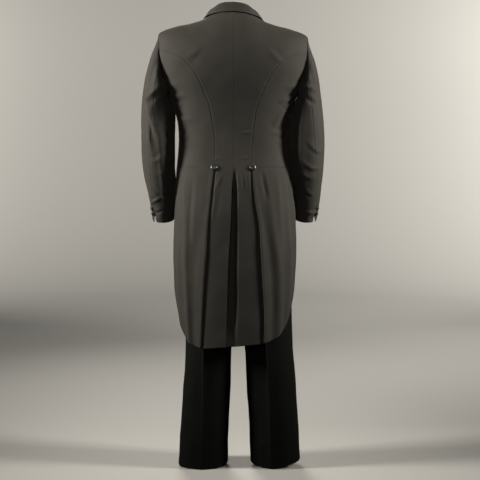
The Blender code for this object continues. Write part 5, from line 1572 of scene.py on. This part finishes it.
def studio():
    """A pale floor that curves up all round into a plain backdrop."""
    flat, bend = FLOOR_RINGS[-1], BACKDROP_BEND
    curve = np.radians(np.arange(10, 91, 10))
    profile = [(radius, 0.0) for radius in FLOOR_RINGS]
    profile += [(flat + bend * math.sin(a), bend * (1 - math.cos(a))) for a in curve]
    profile += [(flat + bend, height) for height in BACKDROP_HEIGHTS]
    spots, faces = turned_form([(radius, FLOOR + z) for radius, z in profile], BACKDROP_SIDES, False)
    mesh = bpy.data.meshes.new("studio_floor")
    mesh.from_pydata(spots, [], faces)
    mesh.shade_smooth()
    paper = bpy.data.materials.new("matte backdrop paper")
    paper.use_nodes = True
    shader = paper.node_tree.nodes["Principled BSDF"]
    shader.inputs["Base Color"].default_value = linear(PAPER)
    shader.inputs["Roughness"].default_value = PAPER_ROUGHNESS
    mesh.materials.append(paper)
    floor = linked("studio_floor", mesh)
    floor.visible_diffuse = False
    floor.visible_glossy = False


def aimed(made, place, aim):
    """Puts a lamp or a camera at a place, turned towards another."""
    made.location = place
    made.rotation_euler = (Vector(aim) - Vector(place)).to_track_quat("-Z", "Y").to_euler()


def light(name, place, aim, size, power, spread, colour):
    """A soft box."""
    lamp = bpy.data.lights.new(name, "AREA")
    lamp.shape, lamp.size, lamp.size_y = "RECTANGLE", *size
    lamp.energy, lamp.color = power, linear(colour)[:3]
    lamp.spread = math.radians(spread)
    aimed(linked(name, lamp), place, aim)


def camera():
    """The photo's view, from behind, at about the waist's height."""
    made = linked("camera", bpy.data.cameras.new("camera"))
    aimed(made, CAMERA_PLACE, CAMERA_AIM)
    made.data.angle = math.radians(CAMERA_ANGLE)
    made.data.shift_x = CAMERA_SHIFT
    bpy.context.scene.camera = made


def main():
    """Makes the materials, every piece, the studio with its lamps, and the camera."""
    # Worsted barathea: a close matte weave, warm black, with a soft grey bloom where it turns from the light.
    # Real ribs lie about half a millimetre apart. These are drawn as coarse as they need to show.
    coat_wool = woven("worsted wool", shade="#1D1C19", lit="#312F2A", rib=1.5 * MM, rib_depth=0.08 * MM,
                      roughness=0.78, sheen=0.10, sheen_tint="#B9AFA2", fuzz=1.2, shine=0.22)
    # The trousers' cloth is the same weight but deeper black and flatter.
    trouser_wool = woven("trouser worsted", shade="#090A08", lit="#11120F", rib=1.5 * MM, rib_depth=0.06 * MM,
                         roughness=0.90, sheen=0.01, sheen_tint="#9FA398", fuzz=1.0, shine=0.07)
    # Satin over the button moulds: smooth, close threads with a clear soft highlight.
    satin = woven("button satin", shade="#0A0A0B", lit="#151517", rib=0.5 * MM, rib_depth=0.02 * MM,
                  roughness=0.36, sheen=0.10, sheen_tint="#C8C6C0", fuzz=0.3, shine=0.6)
    # Silk twist, a shade above the cloth: a thread's round shine, so that the hand stitches just show.
    twist = woven("silk twist", shade="#2A2926", lit="#3B3936", rib=0.25 * MM, rib_depth=0.03 * MM,
                  roughness=0.45, sheen=0.05, sheen_tint="#B9AFA2", fuzz=0.5, shine=0.5)
    for side in SIDE_NAMES:
        back_panel(side, coat_wool)
        side_panel(side, coat_wool)
        front_panel(side, coat_wool)
        lapel(side, coat_wool)
        skirt(side, coat_wool)
        arm_piece(side, True, coat_wool)
        arm_piece(side, False, coat_wool)
        leg_panel(side, True, trouser_wool)
        leg_panel(side, False, trouser_wool)
    collar(coat_wool)
    waistband(trouser_wool)
    fly(trouser_wool)
    buttons(satin)
    stitching(twist)
    studio()
    for row in LIGHTS:
        light(*row)
    world = bpy.data.worlds.new("studio air")
    world.use_nodes = True
    world.node_tree.nodes["Background"].inputs["Color"].default_value = linear(AIR)
    world.node_tree.nodes["Background"].inputs["Strength"].default_value = WORLD
    bpy.context.scene.world = world
    camera()
    bpy.context.scene.view_settings.view_transform = "Standard"


main()
